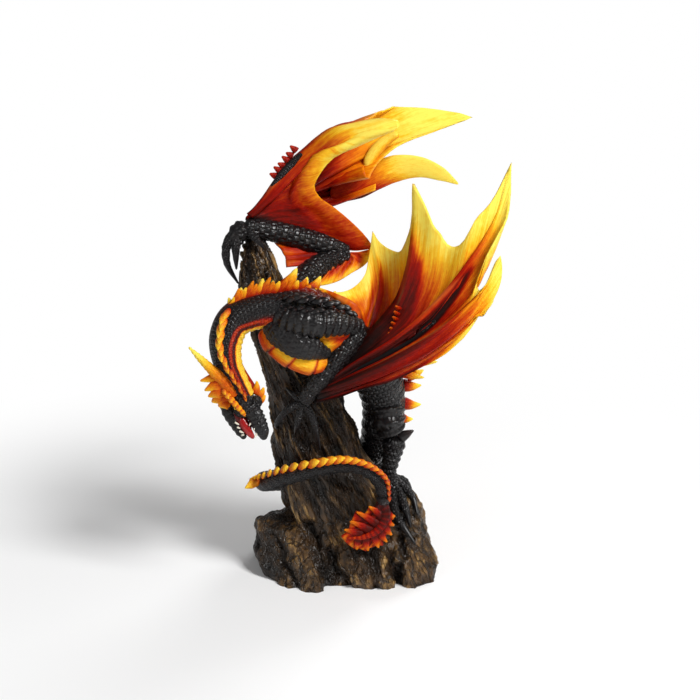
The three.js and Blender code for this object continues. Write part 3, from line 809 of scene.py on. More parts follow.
def belly():
    """Broad plates that overlap down the chest, yellow inside and red at the rim, under a black fold."""
    def swell(t, s, angle, radius):
        along = np.mod(s / BELLY_PLATE + 0.12 * np.cos(angle), 1)
        return 0.9 * along - 0.6 * hump(along, 0, 0.06)

    def flame(t, s, angle, radius):
        along = np.mod(s / BELLY_PLATE + 0.12 * np.cos(angle), 1)
        seam = np.maximum(hump(along, 0, 0.07), hump(along, 1, 0.07))
        rim = rise(0.1, 0.9, np.cos(angle)) + 0.7 * (1 - rise(0.1, 0.4, t)) + 0.5 * rise(0.75, 1, t)
        return 0.87 - 0.25 * np.minimum(rim, 1.2) - 0.3 * seam

    def folds(t, s, angle, radius):
        return 0.6 * np.abs(np.sin(4 * angle + 7 * t)) * rise(0, 0.2, t) + 0.3 * np.sin(TURN * s / 3.4)

    plates = flame_limb(BELLY, [4.5, 6.2, 6.6, 6.8, 6, 4], around=40, steps=70, flat=0.55, swell=swell,
                        flame=flame)
    flap = limb(CHEST_FLAP, [4, 7.6, 8.6, 7.0, 1.8], around=44, steps=70, flat=0.45, swell=folds, scales=0.5,
                columns=14)
    return [plates, flap]


SPINES = [
    [(-67, -42, 176), (-67, -41, 187), 3.4],
    [(-61, -38, 181), (-60, -37, 192), 3.6], [(-51, -36, 186), (-47, -35, 197), 4.2],
    [(-44, -34, 188), (-41, -33, 195), 3.4], [(-36, -32, 188), (-27, -30, 202), 5.6],
    [(-25, -30, 188), (-21, -28, 196), 3.2], [(-20, -29, 187), (-13, -26, 196), 4.4],
    [(-13, -24, 179), (-4, -20, 185), 3.4],
    [(41, 0, 131), (50, 0, 137), 4], [(39, 4, 124), (50, 4, 128), 4.5], [(36, 7, 117), (49, 10, 116), 5],
    [(36, 8, 105), (49, 11, 103), 5], [(35, 9, 95), (44, 12, 93), 4],
    [(34, -4, 130), (50, -6, 126), 4], [(36, -5, 136), (58, -8, 137), 4],
]
NECK_ROPE = [
    (-67.5, -50.5, 180.5), (-69.5, -53, 176), (-71, -55, 169), (-71.5, -57, 162), (-70, -58, 155),
    (-66.5, -58.5, 147.5), (-62.5, -58.2, 140.5), (-58.8, -57.5, 134), (-56.5, -56.5, 129),
]
NAPE = [
    (-67, -43, 179), (-60, -42, 185), (-50, -41, 188.5), (-38, -40, 190), (-25, -36, 190), (-12, -29, 183),
]
NAPE_SPINES = 17


def back_spines():
    made = [spike(foot, tip, radius, flame=(0.46, 0.98), bend=0.8) for foot, tip, radius in SPINES]
    made += scutes_along(NECK_ROPE, (-0.25, -1, 0.1), 16, [4.2, 5.2, 5.0, 4.4, 3.8, 3.2, 2.6, 2.2],
                         [0.84, 0.90, 0.90, 0.86, 0.80, 0.76, 0.72], sway=0.4, long=2.0)
    for i in range(NAPE_SPINES):
        t = (i + 0.5) / NAPE_SPINES
        at = curve(NAPE, t)[0]
        ahead = unit(curve(NAPE, t + 0.02) - curve(NAPE, t - 0.02))[0]
        tall = float(spread([7, 8, 9, 8, 7, 5], t)) * (1.15 if i % 3 == 1 else 0.85)
        tip = at + np.array([0, -0.3, 1.0]) * tall + ahead * 0.55 * tall
        flame = (0.50, 0.74 if i % 3 else 0.9)
        made.append(spike(at - ahead * 2, tip, 3.4, flat=0.42, flame=flame, bend=0.8))
    return made


# The tail

TAIL = [
    (26, 12, 86), (18, 26, 67), (1, 38, 54), (-22, 43, 43), (-41, 31, 45), (-50, 10, 52), (-45, -11, 60),
    (-31.5, -25, 69.5), (-15, -32.5, 77), (1, -34.5, 80), (14, -35.5, 77.5), (22.5, -36, 69),
    (24.5, -36.5, 58), (20.5, -36.5, 48), (12, -36.5, 39.5),
]
TAIL_RADII = [11, 9.5, 8.5, 7.6, 6.8, 6, 5.6, 5.5, 5.4, 5.2, 4.8, 4.4, 4, 3.4, 2]
TAIL_RIDGE = [
    (-58, 4, 54), (-51, -13, 63), (-36.5, -28, 73.5), (-16, -37.5, 81),
    (1, -39.5, 84), (16, -40, 80.5), (26.5, -39, 71), (28.5, -39, 58),
]
FIN_RAILS = [
    [(22, -36, 56), (19, -37, 52), (16, -37.5, 53.5)],
    [(23, -37, 54), (17, -38, 47), (8, -38, 51)],
    [(24, -37.5, 53), (18, -39, 42), (6, -39.5, 39), (-1, -38.5, 35)],
    [(24.5, -38, 52), (21, -39.5, 42), (14, -40, 33), (7, -39.5, 27)],
    [(25, -38, 52), (23.5, -39.5, 43), (19, -40, 34), (14, -39.5, 25.5)],
    [(25.5, -38, 53), (26, -39, 44), (25, -39.5, 36), (24.5, -39, 29)],
    [(26, -37.5, 54), (27.5, -38.5, 46), (28, -39, 41), (29.5, -38.5, 36.5)],
    [(26, -37, 55), (28, -37.5, 50), (31, -37.5, 46)],
]
FIN_EDGES = [
    [(13, -37.8, 49)],
    [(4.5, -38.6, 43), (3, -38.8, 38.5)],
    [(0.5, -39.3, 32.5), (3.5, -39.5, 29.5)],
    [(9.5, -39.8, 27.5), (11.5, -39.8, 26.5)],
    [(17.5, -39.8, 28), (20.5, -39.6, 29)],
    [(24.8, -39.3, 33), (26.3, -39, 36)],
    [(28, -38.4, 41), (28.6, -38, 44)],
]
FIN_QUILL = [
    (22, -36.5, 58), (26, -39.5, 51), (24.5, -41, 44), (19.5, -42, 38.5), (11.5, -41.8, 35), (2, -40.5, 34),
]
FIN_BARBS = [
    [(26.5, -39.5, 50), (32, -38.5, 47.5)], [(25.5, -40.5, 46.5), (31.5, -39.5, 42)],
    [(24.5, -41, 43.5), (30, -40.5, 36)], [(22, -41.5, 40.5), (27, -41, 31.5)],
    [(18.5, -42, 38), (22, -41.5, 28)], [(14, -42, 36), (15.5, -41.5, 26)],
    [(10, -41.6, 34.8), (8.5, -41, 26.5)], [(25, -40.5, 47), (15.5, -39, 54.5)],
    [(22.5, -41, 42), (8, -39.5, 51)], [(18, -41.5, 38.5), (4, -40, 45)],
    [(12, -41.5, 36), (0.5, -40, 39.5)],
]


def tail():
    def swell(t, s, angle, radius):
        return 0.35 * np.sin(TURN * s / 7.5 + np.sin(angle))

    def flame(t, s, angle, radius):
        return 0.62 * rise(0.25, 0.9, np.sin(angle)) * hump(t, 0.52, 0.11) + 0.52 * rise(0.84, 0.94, t)

    def fin_flame(gap, u, share, points, wave):
        return 0.33 + 0.30 * rise(0.62, 1, share) + 0.12 * wave - 0.26 * (1 - rise(0, 0.35, share))

    def quill_flame(t, s, angle, radius):
        return 0.24 + 0.28 * rise(0.1, 0.9, t) + 0.10 * np.sin(TURN * s / 3)

    rope = limb(TAIL, TAIL_RADII, around=28, steps=170, up=UPWARDS, swell=swell, flame=flame, columns=18)
    scutes = scutes_along(TAIL_RIDGE, (-0.1, -0.7, 0.7), 25, [3.6, 4.8, 6.0, 6.8, 6.2, 4.8, 3.5, 2.6],
                          [0.78, 0.84, 0.89, 0.90, 0.86, 0.78, 0.70, 0.62])
    scutes.append(scute((-56, -9, 57.5), (-1, -0.2, -0.55), (0, -0.9, 0.4), 12, 6, 3.4, (0.6, 0.95), FLAME))
    bands = [(rail, 0, 1.0, -0.12, 0.5, 0.95) for rail in range(1, len(FIN_RAILS) - 1)]
    fin = sail(FIN_RAILS, FIN_EDGES, columns=7, rows=28, root=0.0, skin=1.3, ridge=(0.5, 0.3), billow=0.0,
               pleats=2.0, bands=bands, flame=fin_flame)
    quill = flame_limb(FIN_QUILL, [3.6, 3, 2.6, 2.2, 1.6, POINT], around=16, steps=40, flat=0.7,
                       flame=quill_flame)
    barbs = [spike(foot, tip, 3.2, flat=0.3, flame=(0.28, 0.72), bend=0.6, steps=10)
             for foot, tip in FIN_BARBS]
    return [rope, fin, quill, *barbs, *scutes]


# The head

CREST = [
    [(-66, -53.5, 136), (-73, -55, 141.5), (-84, -55, 139.8)],
    [(-66, -53.5, 134), (-74, -55.5, 137), (-81.5, -55, 133.8)],
    [(-66.5, -53.5, 132), (-73.5, -55.5, 132.5), (-79.5, -54.8, 130)],
    [(-67, -53.5, 129.5), (-73, -55, 128.8), (-77.5, -54, 126.3)],
    [(-67, -53, 127), (-70.5, -54.5, 125.5), (-73.5, -53.5, 123.2)],
]
FRILLS = [
    [(-52.5, -48, 129), (-51, -46, 137), 3.0], [(-51, -48, 127), (-46.8, -46, 133), 3.0],
    [(-50.8, -48.5, 124.5), (-46, -47, 128.5), 2.8],
]
BROW = [
    (-70.5, -56, 135), (-67.5, -57.5, 131.5), (-64, -58.6, 127.5), (-60.5, -58.9, 123.5),
    (-57.5, -58.2, 119.5),
]
NEAR_HORN = [(-64, -53, 130), (-69, -54.5, 138.5), (-77, -55.5, 147), (-84, -56, 154.5), (-90, -56, 161)]
UPPER_JAW = [(-57, -52.5, 125), (-53, -54, 120), (-50, -55, 114), (-47.5, -55.3, 108), (-46.6, -55, 103)]
LOWER_JAW = [
    (-69.5, -50.5, 127), (-68, -52.5, 120), (-64, -54, 112.5), (-60.5, -55, 107), (-57.5, -55, 104),
]
TEETH = [
    [(-63.8, -56.6, 114.6), (-61.2, -58, 113.6)], [(-62.4, -57, 111.6), (-60.6, -58.2, 111.4)],
    [(-61.2, -57, 109.2), (-58.4, -58.4, 108.4)], [(-60, -57, 106.6), (-58.2, -58.2, 107.4)],
    [(-53.6, -56.8, 115.6), (-55.4, -58.2, 112.8)], [(-51.6, -57, 111.8), (-52.8, -58.2, 109.8)],
    [(-50.4, -57, 108.6), (-52.2, -58.2, 105.4)],
]


def head():
    def knobs(t, s, angle, radius):
        return 0.6 * np.abs(np.sin(math.pi * s / 3.3)) - 0.2

    def wrinkles(t, s, angle, radius):
        return 0.45 * np.sin(TURN * s / 2.6) * (1 - rise(0.5, 0.75, t))

    def ripples(t, s, angle, radius):
        return 0.2 * np.sin(TURN * s / 3.5)

    def crest_flame(t, s, angle, radius):
        return 0.6 + 0.22 * rise(0.2, 1, t) - 0.12 * np.cos(angle)

    skull = limb([(-60, -47, 134), (-60, -50, 128), (-58.5, -52, 122), (-56, -53, 117)], [7, 7.4, 7.0, 5.2],
                 around=36, steps=36, columns=20)
    far_brow = limb([(-53, -50, 129), (-51.5, -51.5, 125.5), (-51, -52.5, 122)], [3.4, 4.0, 3.0],
                    around=24, steps=18, columns=12)
    jaw = {"around": 28, "steps": 40, "scales": 0.3, "columns": 14}
    upper_jaw = limb(UPPER_JAW, [4.8, 5.3, 5.0, 4.0, 1.5], flat=0.85, swell=wrinkles, **jaw)
    lower_jaw = limb(LOWER_JAW, [3.8, 3.8, 3.0, 2.2, 1.5], flat=0.8, swell=ripples, **jaw)
    mouth = limb([(-64, -51.5, 122), (-61, -53.2, 115), (-57, -54.2, 109), (-55, -54.4, 106)],
                 [4.6, 4.6, 3.4, 1.6], flat=0.6, around=24, steps=16, material=MOUTH)
    tongue = limb([(-60.5, -55, 117), (-57.8, -56.2, 112), (-55, -57, 107.8), (-52.6, -57.2, 104.6)],
                  [1.6, 2.4, 2.2, 1.0], flat=0.5, around=14, steps=14, material=TONGUE)
    brow = flame_limb(BROW, [1.2, 1.5, 1.6, 1.4, 0.9], around=16, steps=44, swell=knobs, flat=0.8,
                      flame=lambda t, s, a, r: 0.74 + 0.08 * np.sin(a))
    brow_scutes = scutes_along(BROW, (-0.3, -1, 0.2), 7, [3.4, 3.8, 3.4, 2.6, 2.0], [0.84, 0.82, 0.78])
    near_horn = flame_limb(NEAR_HORN, [4.4, 4.0, 3.0, 2.0, 0.5], around=16, steps=50, blunt=0.3,
                           swell=lambda t, s, a, r: 0.15 * np.sin(TURN * s / 3),
                           flame=lambda t, s, a, r: 0.66 + 0.34 * rise(0.2, 0.9, t))
    far_horn = spike((-54, -45, 130), (-66, -24, 158), 3.8, flat=1, flame=(0.5, 0.95), bend=-3, around=12,
                     steps=16)
    eye = flame_limb([(-63.6, -57.4, 124.6), (-62.4, -57.9, 123.4)], [1.3, 1.3], around=12, steps=6,
                     flame=0.9)
    pupil = limb([(-63.2, -58.7, 124.2), (-62.7, -58.9, 123.6)], [0.55, 0.55], around=8, steps=4, scales=0.0)
    crest = [flame_limb(points, [3.8, 4.4, POINT], around=14, steps=18, flat=0.38, blunt=0.3,
                        flame=crest_flame) for points in CREST]
    frills = [spike(foot, tip, radius, flat=0.4, flame=(0.6, 0.86), bend=0.8) for foot, tip, radius in FRILLS]
    teeth = [spike(foot, tip, 0.65, material=TOOTH, flat=1, end=0.2) for foot, tip in TEETH]
    return [skull, far_brow, upper_jaw, lower_jaw, mouth, tongue, brow, *brow_scutes, near_horn, far_horn,
            eye, pupil, *crest, *frills, *teeth]


# Arms and legs

LEFT_ELBOW = (12, -36, 167)
LEFT_WRIST = (-24, -33, 119.5)
RIGHT_ELBOW = (4, 12, 201)
RIGHT_WRIST = (-60, -1, 220)


def rings(period, depth):
    """Wrinkles that run round a limb and wander a little."""
    return lambda t, s, angle, radius: depth * np.sin(TURN * s / period + 0.9 * np.sin(angle + 3 * t))


def digits(lines, root=2.6):
    """Fingers or toes: ringed and scaled up to a smooth claw."""
    def joints(t, s, angle, radius):
        return 0.22 * np.sin(TURN * s / 3.2) * (1 - rise(0.6, 0.8, t))

    radii = np.interp(np.linspace(0, 1, 6), [0, 0.55, 0.7, 1], [root, root * 0.72, root * 0.62, POINT])
    return [limb(points, radii, around=12, steps=20, columns=8, swell=joints,
                 scales=lambda t, s, a, r: 1 - rise(0.6, 0.75, t)) for points in lines]


# Rows of raised scales on the near arm: their line, the way they face, their count, sizes and sway
ARM_SCALES = [
    ([(-42, -42, 186), (-28, -47, 187), (-12, -45, 185), (2, -40, 179), (11, -38, 170)],
     (0, -0.7, 0.7), 17, [3.4, 5.0, 5.0, 4.2, 2.6], 0.9),
    ([(-38, -45, 182), (-24, -50.5, 182), (-9, -48.5, 180), (4, -43, 174)],
     (0, -0.9, 0.4), 15, [2.6, 3.6, 3.6, 2.4], 0.6),
    ([(9, -41, 165), (-2, -45.5, 154), (-12, -44, 140), (-20, -39.5, 126)],
     (0.3, -1, 0), 14, [2.2, 2.8, 2.6, 2.0], 0.5),
]


def left_arm():
    def muscle(t, s, angle, radius):
        ringed = np.sin(TURN * s / 4.2 + 1.4 * np.cos(angle))
        crest = hump(np.sin(angle) - np.cos(angle), 1.35, 0.35)
        return 0.75 * ringed * (1 - 0.6 * crest) + 0.5 * crest

    upper = limb([(-44, -38, 178.5), (-32, -45, 174.5), (-18, -48, 173), (-2, -44, 171.5), LEFT_ELBOW],
                 [4.5, 8.2, 8.8, 6.8, 3.8], around=44, steps=90, swell=muscle, columns=16, scales=0.4)
    fore = limb([LEFT_ELBOW, (3.5, -39.5, 157), (-8, -39.5, 143), (-17.5, -36.5, 129), LEFT_WRIST],
                [4.2, 6.2, 6.4, 5.2, 4.4], around=32, steps=80, swell=rings(6.4, 0.3), columns=14)
    bumps = []
    for line, out, count, sizes, sway in ARM_SCALES:
        bumps += scutes_along(line, out, count, sizes, [0.1], sway=sway, material=HIDE)
    hand = digits([
        [LEFT_WRIST, (-28, -30, 121.5), (-34.5, -20, 124)],
        [LEFT_WRIST, (-33, -30, 113.5), (-40.5, -20, 101), (-40.5, -13, 95)],
        [LEFT_WRIST, (-27, -31, 107), (-29.5, -23.5, 94.5)],
        [LEFT_WRIST, (-18, -32, 108), (-16, -28.5, 97.5), (-14, -25.5, 85.5)],
    ])
    return [upper, fore, *bumps, *hand]


def right_arm():
    def ropes(t, s, angle, radius):
        return 0.5 * np.maximum(hump(np.sin(angle), 0.55, 0.28), hump(np.sin(angle), -0.1, 0.3)) * np.abs(
            np.sin(math.pi * s / 3.4))

    upper = limb([(-30, -16, 182), (-24, -8, 189), (-12, 4, 196), RIGHT_ELBOW], [9, 8, 7, 4], around=24,
                 steps=40, swell=rings(5, 0.4), columns=14)
    fore = limb([RIGHT_ELBOW, (-15, 10, 207), (-38, 4, 215), RIGHT_WRIST], [4.4, 7, 6.4, 5.4], around=32,
                steps=80, swell=ropes, columns=10)
    hand = digits([
        [RIGHT_WRIST, (-69, -5, 212), (-70, -8, 200), (-63, -8, 186)],
        [RIGHT_WRIST, (-64, -8, 210), (-64, -12, 196)],
        [RIGHT_WRIST, (-54, -6, 216), (-47, -8, 208)],
        [RIGHT_WRIST, (-66, 7, 210), (-66, 14, 196)],
    ], root=3.6)
    palm = limb([(-57, -1, 221), (-63, -3, 216), (-67, -5, 208)], [6, 6.4, 3.8], around=24, steps=20,
                columns=9, swell=rings(3.6, 0.4))
    return [upper, fore, palm, *hand]


def left_leg():
    thigh = limb([(26, 3, 110), (28, -1, 97), (32, -1, 87)], [11.5, 10.5, 8.5], around=36, steps=44,
                 swell=rings(6.5, 1.1), columns=14, scales=0.45)
    shin = limb([(33, -1, 86), (30, 1, 70), (28, 2, 60)], [7.5, 5.4, 4.6], around=28, steps=34,
                swell=rings(4.5, 0.4), columns=14)
    foot = limb([(28, 2, 61), (31, -2, 56), (34, -6, 52)], [4.8, 5.2, 4.2], around=20, steps=16)
    spur = spike((35, -1, 85), (44, -2, 90.5), 4.4, flame=(0, 0.1), flat=0.8, material=HIDE)
    toes = digits([
        [(32, -3, 56), (36, -4, 55), (43, -8, 49), (46.5, -16, 39)],
        [(33, -5, 54), (38, -15, 46), (42, -24, 34)],
        [(31, -5, 54), (33, -20, 42), (45, -32, 26)],
        [(29, 2, 56), (38, 9, 53), (44, 12, 44)],
    ], root=3.5)
    return [thigh, shin, foot, spur, *toes]


def right_leg():
    thigh = limb([(24, 17, 102), (28, 32, 90), (27, 38, 78)], [10, 9.5, 7], up=AWAY, around=24, steps=26,
                 swell=rings(5, 0.5), columns=14)
    shin = limb([(27, 38, 80), (24, 40, 62), (22, 38, 42)], [6.6, 5, 4.4], up=AWAY, around=20, steps=26,
                swell=rings(4.5, 0.4), columns=12)
    toes = digits([
        [(22, 38, 43), (14, 45, 36), (8, 50, 24)],
        [(22, 38, 43), (22, 46, 34), (23, 50, 22)],
        [(22, 38, 43), (32, 42, 34), (38, 44, 22)],
    ])
    return [thigh, shin, *toes]


# The wings

LEFT_RAILS = [
    [LEFT_ELBOW, (6, -30, 178), (-5, -24, 183), (-15, -18, 186)],
    [LEFT_WRIST, (0, -28, 141.5), (12, -18, 157), (17, -8, 168), (21, -2, 181), (21, 2, 197), (18, 8, 215)],
    [
        LEFT_WRIST, (2, -33, 145), (21, -32, 166), (33, -27, 181), (39, -22, 199), (42, -15, 221),
        (42, -8, 248),
    ],
    [
        LEFT_WRIST, (4, -42, 143.5), (34, -50, 166), (55, -48, 186), (72, -42, 207), (88, -32, 231),
        (99, -20, 263),
    ],
    [
        LEFT_WRIST, (1, -45, 134.5), (31, -60, 155), (54, -64, 171), (71, -64, 186), (83, -61, 200),
        (91, -56, 216),
    ],
    [LEFT_WRIST, (-2, -42, 126.5), (21, -54, 138), (41, -58, 148), (57, -60, 157), (70, -61, 168)],
]
LEFT_EDGES = [
    [(-6, -14, 183), (2, -10, 183), (9, -6, 186), (14, -2, 192), (16, 3, 202)],
    [(23, 6, 208), (28, 2, 205), (33, -3, 205), (37, -8, 213), (40, -10, 225)],
    [
        (48, -16, 237), (53, -24, 226), (57, -28, 222), (62, -32, 216),
        (68, -36, 218), (77, -36, 232), (86, -32, 240), (94, -26, 252),
    ],
    [
        (98, -27, 248), (94, -36, 234), (86, -45, 222), (80, -52, 211),
        (78, -58, 196), (83, -58, 202), (87, -57, 211),
    ],
    [(92, -57, 211), (91, -60, 201), (87, -62, 192), (82, -63, 185), (77, -62, 177)],
]
# Bands beside the near wing's fingers: the two with negative height are grooves darkened with painted shade,
# the others are darker streaks.
LEFT_BANDS = [
    (1, 1.8, 2.6, -0.24, 0.9, 0.78), (2, -2.4, 1.2, -0.46, -1.2, 0.74), (2, 3.4, 3.8, -0.26, 0.9, 0.75),
    (3, -5.0, 4.0, -0.17, 1.4, 0.68), (3, 2.8, 1.6, -0.42, -1.6, 0.62), (4, -1.5, 5.0, -0.12, 0.7, 0.55),
    (5, 0, 2.0, -0.20, 0.3, 0.60),
]
LEFT_WEB = [
    [
        [(10, -37, 166), (0, -42.5, 159.5), (-9.5, -43.5, 152)],
        [(10, -37, 166), (-5, -44, 168), (-21, -46, 166)],
    ],
    [[(-11, -45, 158), (-15, -46, 163)]],
]


def left_flame(gap, u, share, points, wave):
    """Dark red at the wrist, red and orange between the fingers, yellow at the tips and the free edge."""
    reach = share + 0.10 * np.abs(2 * u - 1) * rise(0.55, 0.85, share)
    burn = np.interp(reach, [0, 0.06, 0.20, 0.42, 0.64, 0.80, 0.90, 1.0],
                     [0.08, 0.30, 0.43, 0.52, 0.59, 0.70, 0.83, 0.98])
    burn = burn + 0.07 * wave * (1 - rise(0.7, 0.95, share))
    burn = np.where(gap == 1, burn + 0.06 * (1 - rise(0.6, 1, share)), burn)
    return np.where(gap == 0, 0.54 + 0.14 * share + 0.3 * rise(0.7, 0.95, share) + 0.05 * wave, burn)


def web_flame(gap, u, share, points, wave):
    return 0.57 + 0.30 * rise(0.55, 1, share) + 0.06 * wave


def arm_web_flame(gap, u, share, points, wave):
    return 0.44 + 0.16 * rise(0.6, 1, share) + 0.05 * wave


def left_wing():
    main = sail(LEFT_RAILS, LEFT_EDGES, columns=24, rows=70, bands=LEFT_BANDS, flame=left_flame,
                ridge=(2.4, 0.5), pleats=2.5)
    web = sail(*LEFT_WEB, columns=16, rows=20, root=0.0, skin=1.2, ridge=(0, 0), billow=0.02, pleats=2,
               flame=web_flame)
    knuckles = [spike((29.5 + i * 0.9, -36, 161.5 + i * 3.3), (27 + i * 0.8, -40, 165 + i * 3.3), 1.7,
                      flame=(0.45, 0.64)) for i in range(6)]
    for i in range(3):
        foot = (46.5 + i * 3, -50.5, 167.5 + i * 2.6)
        tip = (48.5 + i * 3, -52, 170.5 + i * 2.6)
        knuckles.append(limb([foot, tip], [2.1, 1.5], around=12, steps=8))
    return [main, web, *knuckles]


CORNER = (19, 14, 203)
ROOF_START = (14, 8, 283)
ROOF_END = (32, 50, 284)
RIGHT_RAILS = [
    [(-59, 0, 221), (-47, 5, 218), (-26, 9, 212), (-5, 12, 205), (6, 13, 202), CORNER],
    [
        (-62, 0, 223), (-55, 1, 228), (-48, 3, 236), (-41, 6, 246), (-32.5, 8, 257),
        (-23.5, 9, 265), (-16, 8, 272), (-7.5, 7, 278), (3, 5, 281), ROOF_START,
    ],
    [(-62, 0, 223), (-42, 20, 234), (-23, 34, 251), (-5, 42, 265), (14, 47, 275), ROOF_END],
    [(-62, 0, 223), (-39, 28, 226), (-24, 44, 228), (-11, 52, 230), (3, 55, 235), (16, 54, 240)],
    [(-59, 0, 221), (-44, 12, 220), (-26, 26, 221), (-8, 42, 223), (7, 44, 228), (20, 44, 233)],
]
RIGHT_EDGES = [
    [
        (14, 12, 211), (6, 10, 220), (-5, 8, 230), (-14, 6, 237), (-18, 4, 245), (-14, 2, 255),
        (-5, 0, 266), (9, -3, 273), (23, -6, 279), (34, -8, 284), (26, -3, 285),
    ],
    [(19, 20, 282), (24, 36, 282)],
    [
        (54, 50, 283), (80, 46, 278), (60, 46, 271), (41, 44, 266), (30, 40, 261),
        (22, 34, 255), (17, 30, 248), (15, 28, 244), (13, 32, 249), (14, 44, 246),
    ],
    [(20, 52, 238)],
]
LIP_FLAME = [
    (-8, 47, 228), (9, 49, 234), (20, 50, 240), (33, 51, 245), (48, 50, 246), (61, 48, 242), (72, 46, 236),
]
LIP_FLAME_RADII = [5, 8, 8.6, 8.6, 6.6, 4.4, POINT]
LOWER_WEB = [
    [[RIGHT_ELBOW, (10, 13, 201), CORNER], [RIGHT_ELBOW, (-7, 2, 194), (-16, -10, 185)]],
    [[(15, 11, 195), (6, 6, 190), (-5, 0, 185)]],
]
ARM_WEB = [
    [[RIGHT_ELBOW, (-20, 10, 206), (-44, 4, 212)], [RIGHT_ELBOW, (-14, 4, 196), (-34, -6, 196)]],
    [[(-38, 0, 206), (-35, -4, 202)]],
]
ROLLED_EDGE = [(34, 36, 270), (27, 37, 266), (20.5, 37, 259.5), (16, 36.5, 252), (15.5, 36, 244)]
KNUCKLE_STRIP = [(-43, 4.5, 243), (-37, 5, 250), (-30, 5.5, 257.5), (-24.5, 6, 263.5)]


def right_flame(gap, u, share, points, wave):
    """The front sheet is red up to a yellow rim. The hollow is red inside and golden outside."""
    lead = np.interp(u, [0, 0.3, 0.45, 0.6, 0.8, 1], [-0.22, -0.17, -0.06, 0.08, 0.20, 0.26])
    front = np.interp(share + lead, [0, 0.1, 0.35, 0.6, 0.78, 0.92, 1.0],
                      [0.2, 0.38, 0.45, 0.52, 0.64, 0.84, 0.97])
    hollow = np.interp(points[:, 0], [-60, -34, -18, -6, 6, 18, 30, 50],
                       [0.3, 0.4, 0.43, 0.50, 0.64, 0.80, 0.90, 1.0])
    return np.where(gap == 0, front, hollow) + 0.05 * wave * (1 - rise(0.7, 1, share))


def right_wing():
    def lip_flame(t, s, angle, radius):
        shadow = 0.2 * rise(0.1, 1, np.cos(angle)) * (1 - rise(0.4, 0.8, t))
        return 0.54 + 0.46 * rise(0.15, 0.6, t) - shadow

    def roll_flame(t, s, angle, radius):
        return 0.9 + 0.08 * np.sin(angle) - 0.16 * hump(np.cos(angle), -0.8, 0.5)

    web = {"columns": 24, "rows": 22, "skin": 1.3, "ridge": (0.4, 0.2), "billow": 0.02}
    main = sail(RIGHT_RAILS, RIGHT_EDGES, columns=28, rows=56, root=0.08, flame=right_flame,
                ridge=(0.7, 0.2), pleats=2)
    lower = sail(*LOWER_WEB, flame=web_flame, **web)
    under = sail(*ARM_WEB, flame=arm_web_flame, **web)
    lip = flame_limb(LIP_FLAME, LIP_FLAME_RADII, around=28, steps=60, flat=0.2, flame=lip_flame)
    knuckles = [spike((-39.5 + i * 2.4, 7, 249 + i * 3.1), (-44.2 + i * 2.5, 6, 251.2 + i * 3.2 + i % 2),
                      2.6, flame=(0.42, 0.52)) for i in range(6)]
    strip = limb(KNUCKLE_STRIP, [1.2, 2.6, 2.8, 1.2], around=16, steps=24, columns=9)
    roll = flame_limb(ROLLED_EDGE, [2.4, 3.4, 4.0, 3.6, 1.2], around=24, steps=40, flat=0.55,
                      flame=roll_flame)
    return [main, lower, under, lip, roll, strip, *knuckles]


def dragon():
    return cast("dragon_skin", [
        body(), *belly(), *back_spines(), *tail(), *head(), *left_arm(), *right_arm(), *left_leg(),
        *right_leg(), *left_wing(), *right_wing(),
    ])


# The picture: floor, lights and camera

FLOOR_WHITE = 0.05  # share of the floor near the statue that is drawn plain white
FLOOR_FADE = (0.14, 0.42)  # metres from the statue between which the floor turns plain white
SURROUNDING_LIGHT = 0.16
LIT_POINT = (0, 0, 0.13)
LAMPS = [  # name, place, size in metres, power in watts
    ("key", (0.75, -0.75, 1.15), 0.5, 24),
    ("fill", (-1.1, -0.9, 0.7), 0.9, 3),
    ("rim", (0.5, 0.9, 0.9), 0.6, 6),
]
CAMERA_AT = (0.0043, -1.14358, 0.49163)
CAMERA_AIM = (0.0043, 0, 0.142)
WHITE = (1, 1, 1, 1)


def aimed(name, data, at, aim):
    """Links a lamp or camera at a place, turned to look at its aim."""
    made = linked(name, data)
    turn = (Vector(aim) - Vector(at)).to_track_quat("-Z", "Y").to_matrix().to_4x4()
    made.matrix_world = Matrix.Translation(at) @ turn
    return made


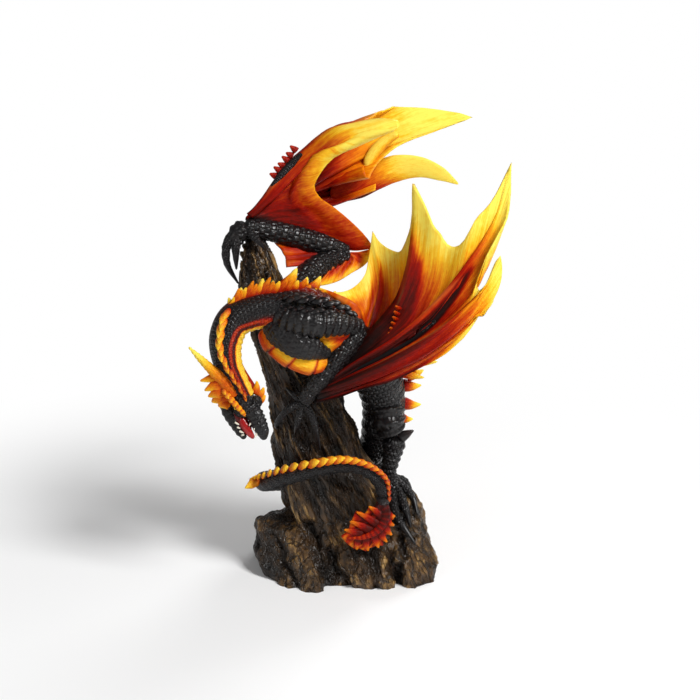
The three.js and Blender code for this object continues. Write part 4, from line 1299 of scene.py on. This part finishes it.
def seen_or_not(tree, unseen, seen, *shares):
    """Mixes two shaders. The second shows only to the camera, by the shares given."""
    fraction = times(tree, node(tree, "ShaderNodeLightPath").outputs["Is Camera Ray"], *shares)
    return node(tree, "ShaderNodeMixShader", {0: fraction, 1: unseen, 2: seen}).outputs["Shader"]


def pale_floor():
    bm = bmesh.new()
    bmesh.ops.create_grid(bm, x_segments=2, y_segments=2, size=3)
    mesh = bpy.data.meshes.new("floor")
    bm.to_mesh(mesh)
    bm.free()
    floor = linked("floor", mesh)
    made, tree, shader = new_material("pale floor")
    coat(shader, tree, (0.9, 0.9, 0.9, 1), 1.0, 0.0)
    reach = node(tree, "ShaderNodeVectorMath", {0: place_of(tree)}, operation="LENGTH").outputs["Value"]
    glow = node(tree, "ShaderNodeEmission").outputs["Emission"]
    fade = ranged(tree, reach, *FLOOR_FADE, FLOOR_WHITE, 1.0)
    blend = seen_or_not(tree, shader.outputs["BSDF"], glow, fade)
    feed(tree, tree.nodes["Material Output"].inputs["Surface"], blend)
    mesh.materials.append(made)


def surroundings():
    """White behind the statue, and dim light from all sides."""
    world = bpy.data.worlds.new("studio")
    world.use_nodes = True
    tree = world.node_tree
    dim = tree.nodes["Background"]
    feed(tree, dim.inputs["Color"], WHITE)
    feed(tree, dim.inputs["Strength"], SURROUNDING_LIGHT)
    backdrop = node(tree, "ShaderNodeBackground", {"Color": WHITE}).outputs["Background"]
    either = seen_or_not(tree, dim.outputs["Background"], backdrop)
    feed(tree, tree.nodes["World Output"].inputs["Surface"], either)
    bpy.context.scene.world = world


def lamps():
    for name, at, size, power in LAMPS:
        lamp = bpy.data.lights.new(name, "AREA")
        lamp.shape = "DISK"
        lamp.size = size
        lamp.energy = power
        aimed(name, lamp, at, LIT_POINT)


def camera():
    lens = bpy.data.cameras.new("camera")
    lens.lens = 100
    lens.sensor_width = 36
    bpy.context.scene.camera = aimed("camera", lens, CAMERA_AT, CAMERA_AIM)


camera()
pale_floor()
surroundings()
lamps()
bpy.context.scene.view_settings.view_transform = "Standard"

plinth_piece = rock_and_trunk()
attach(plinth_piece, "root")
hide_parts("rock_plinth")

dragon_piece = dragon()
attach(dragon_piece, "root")
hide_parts("dragon")
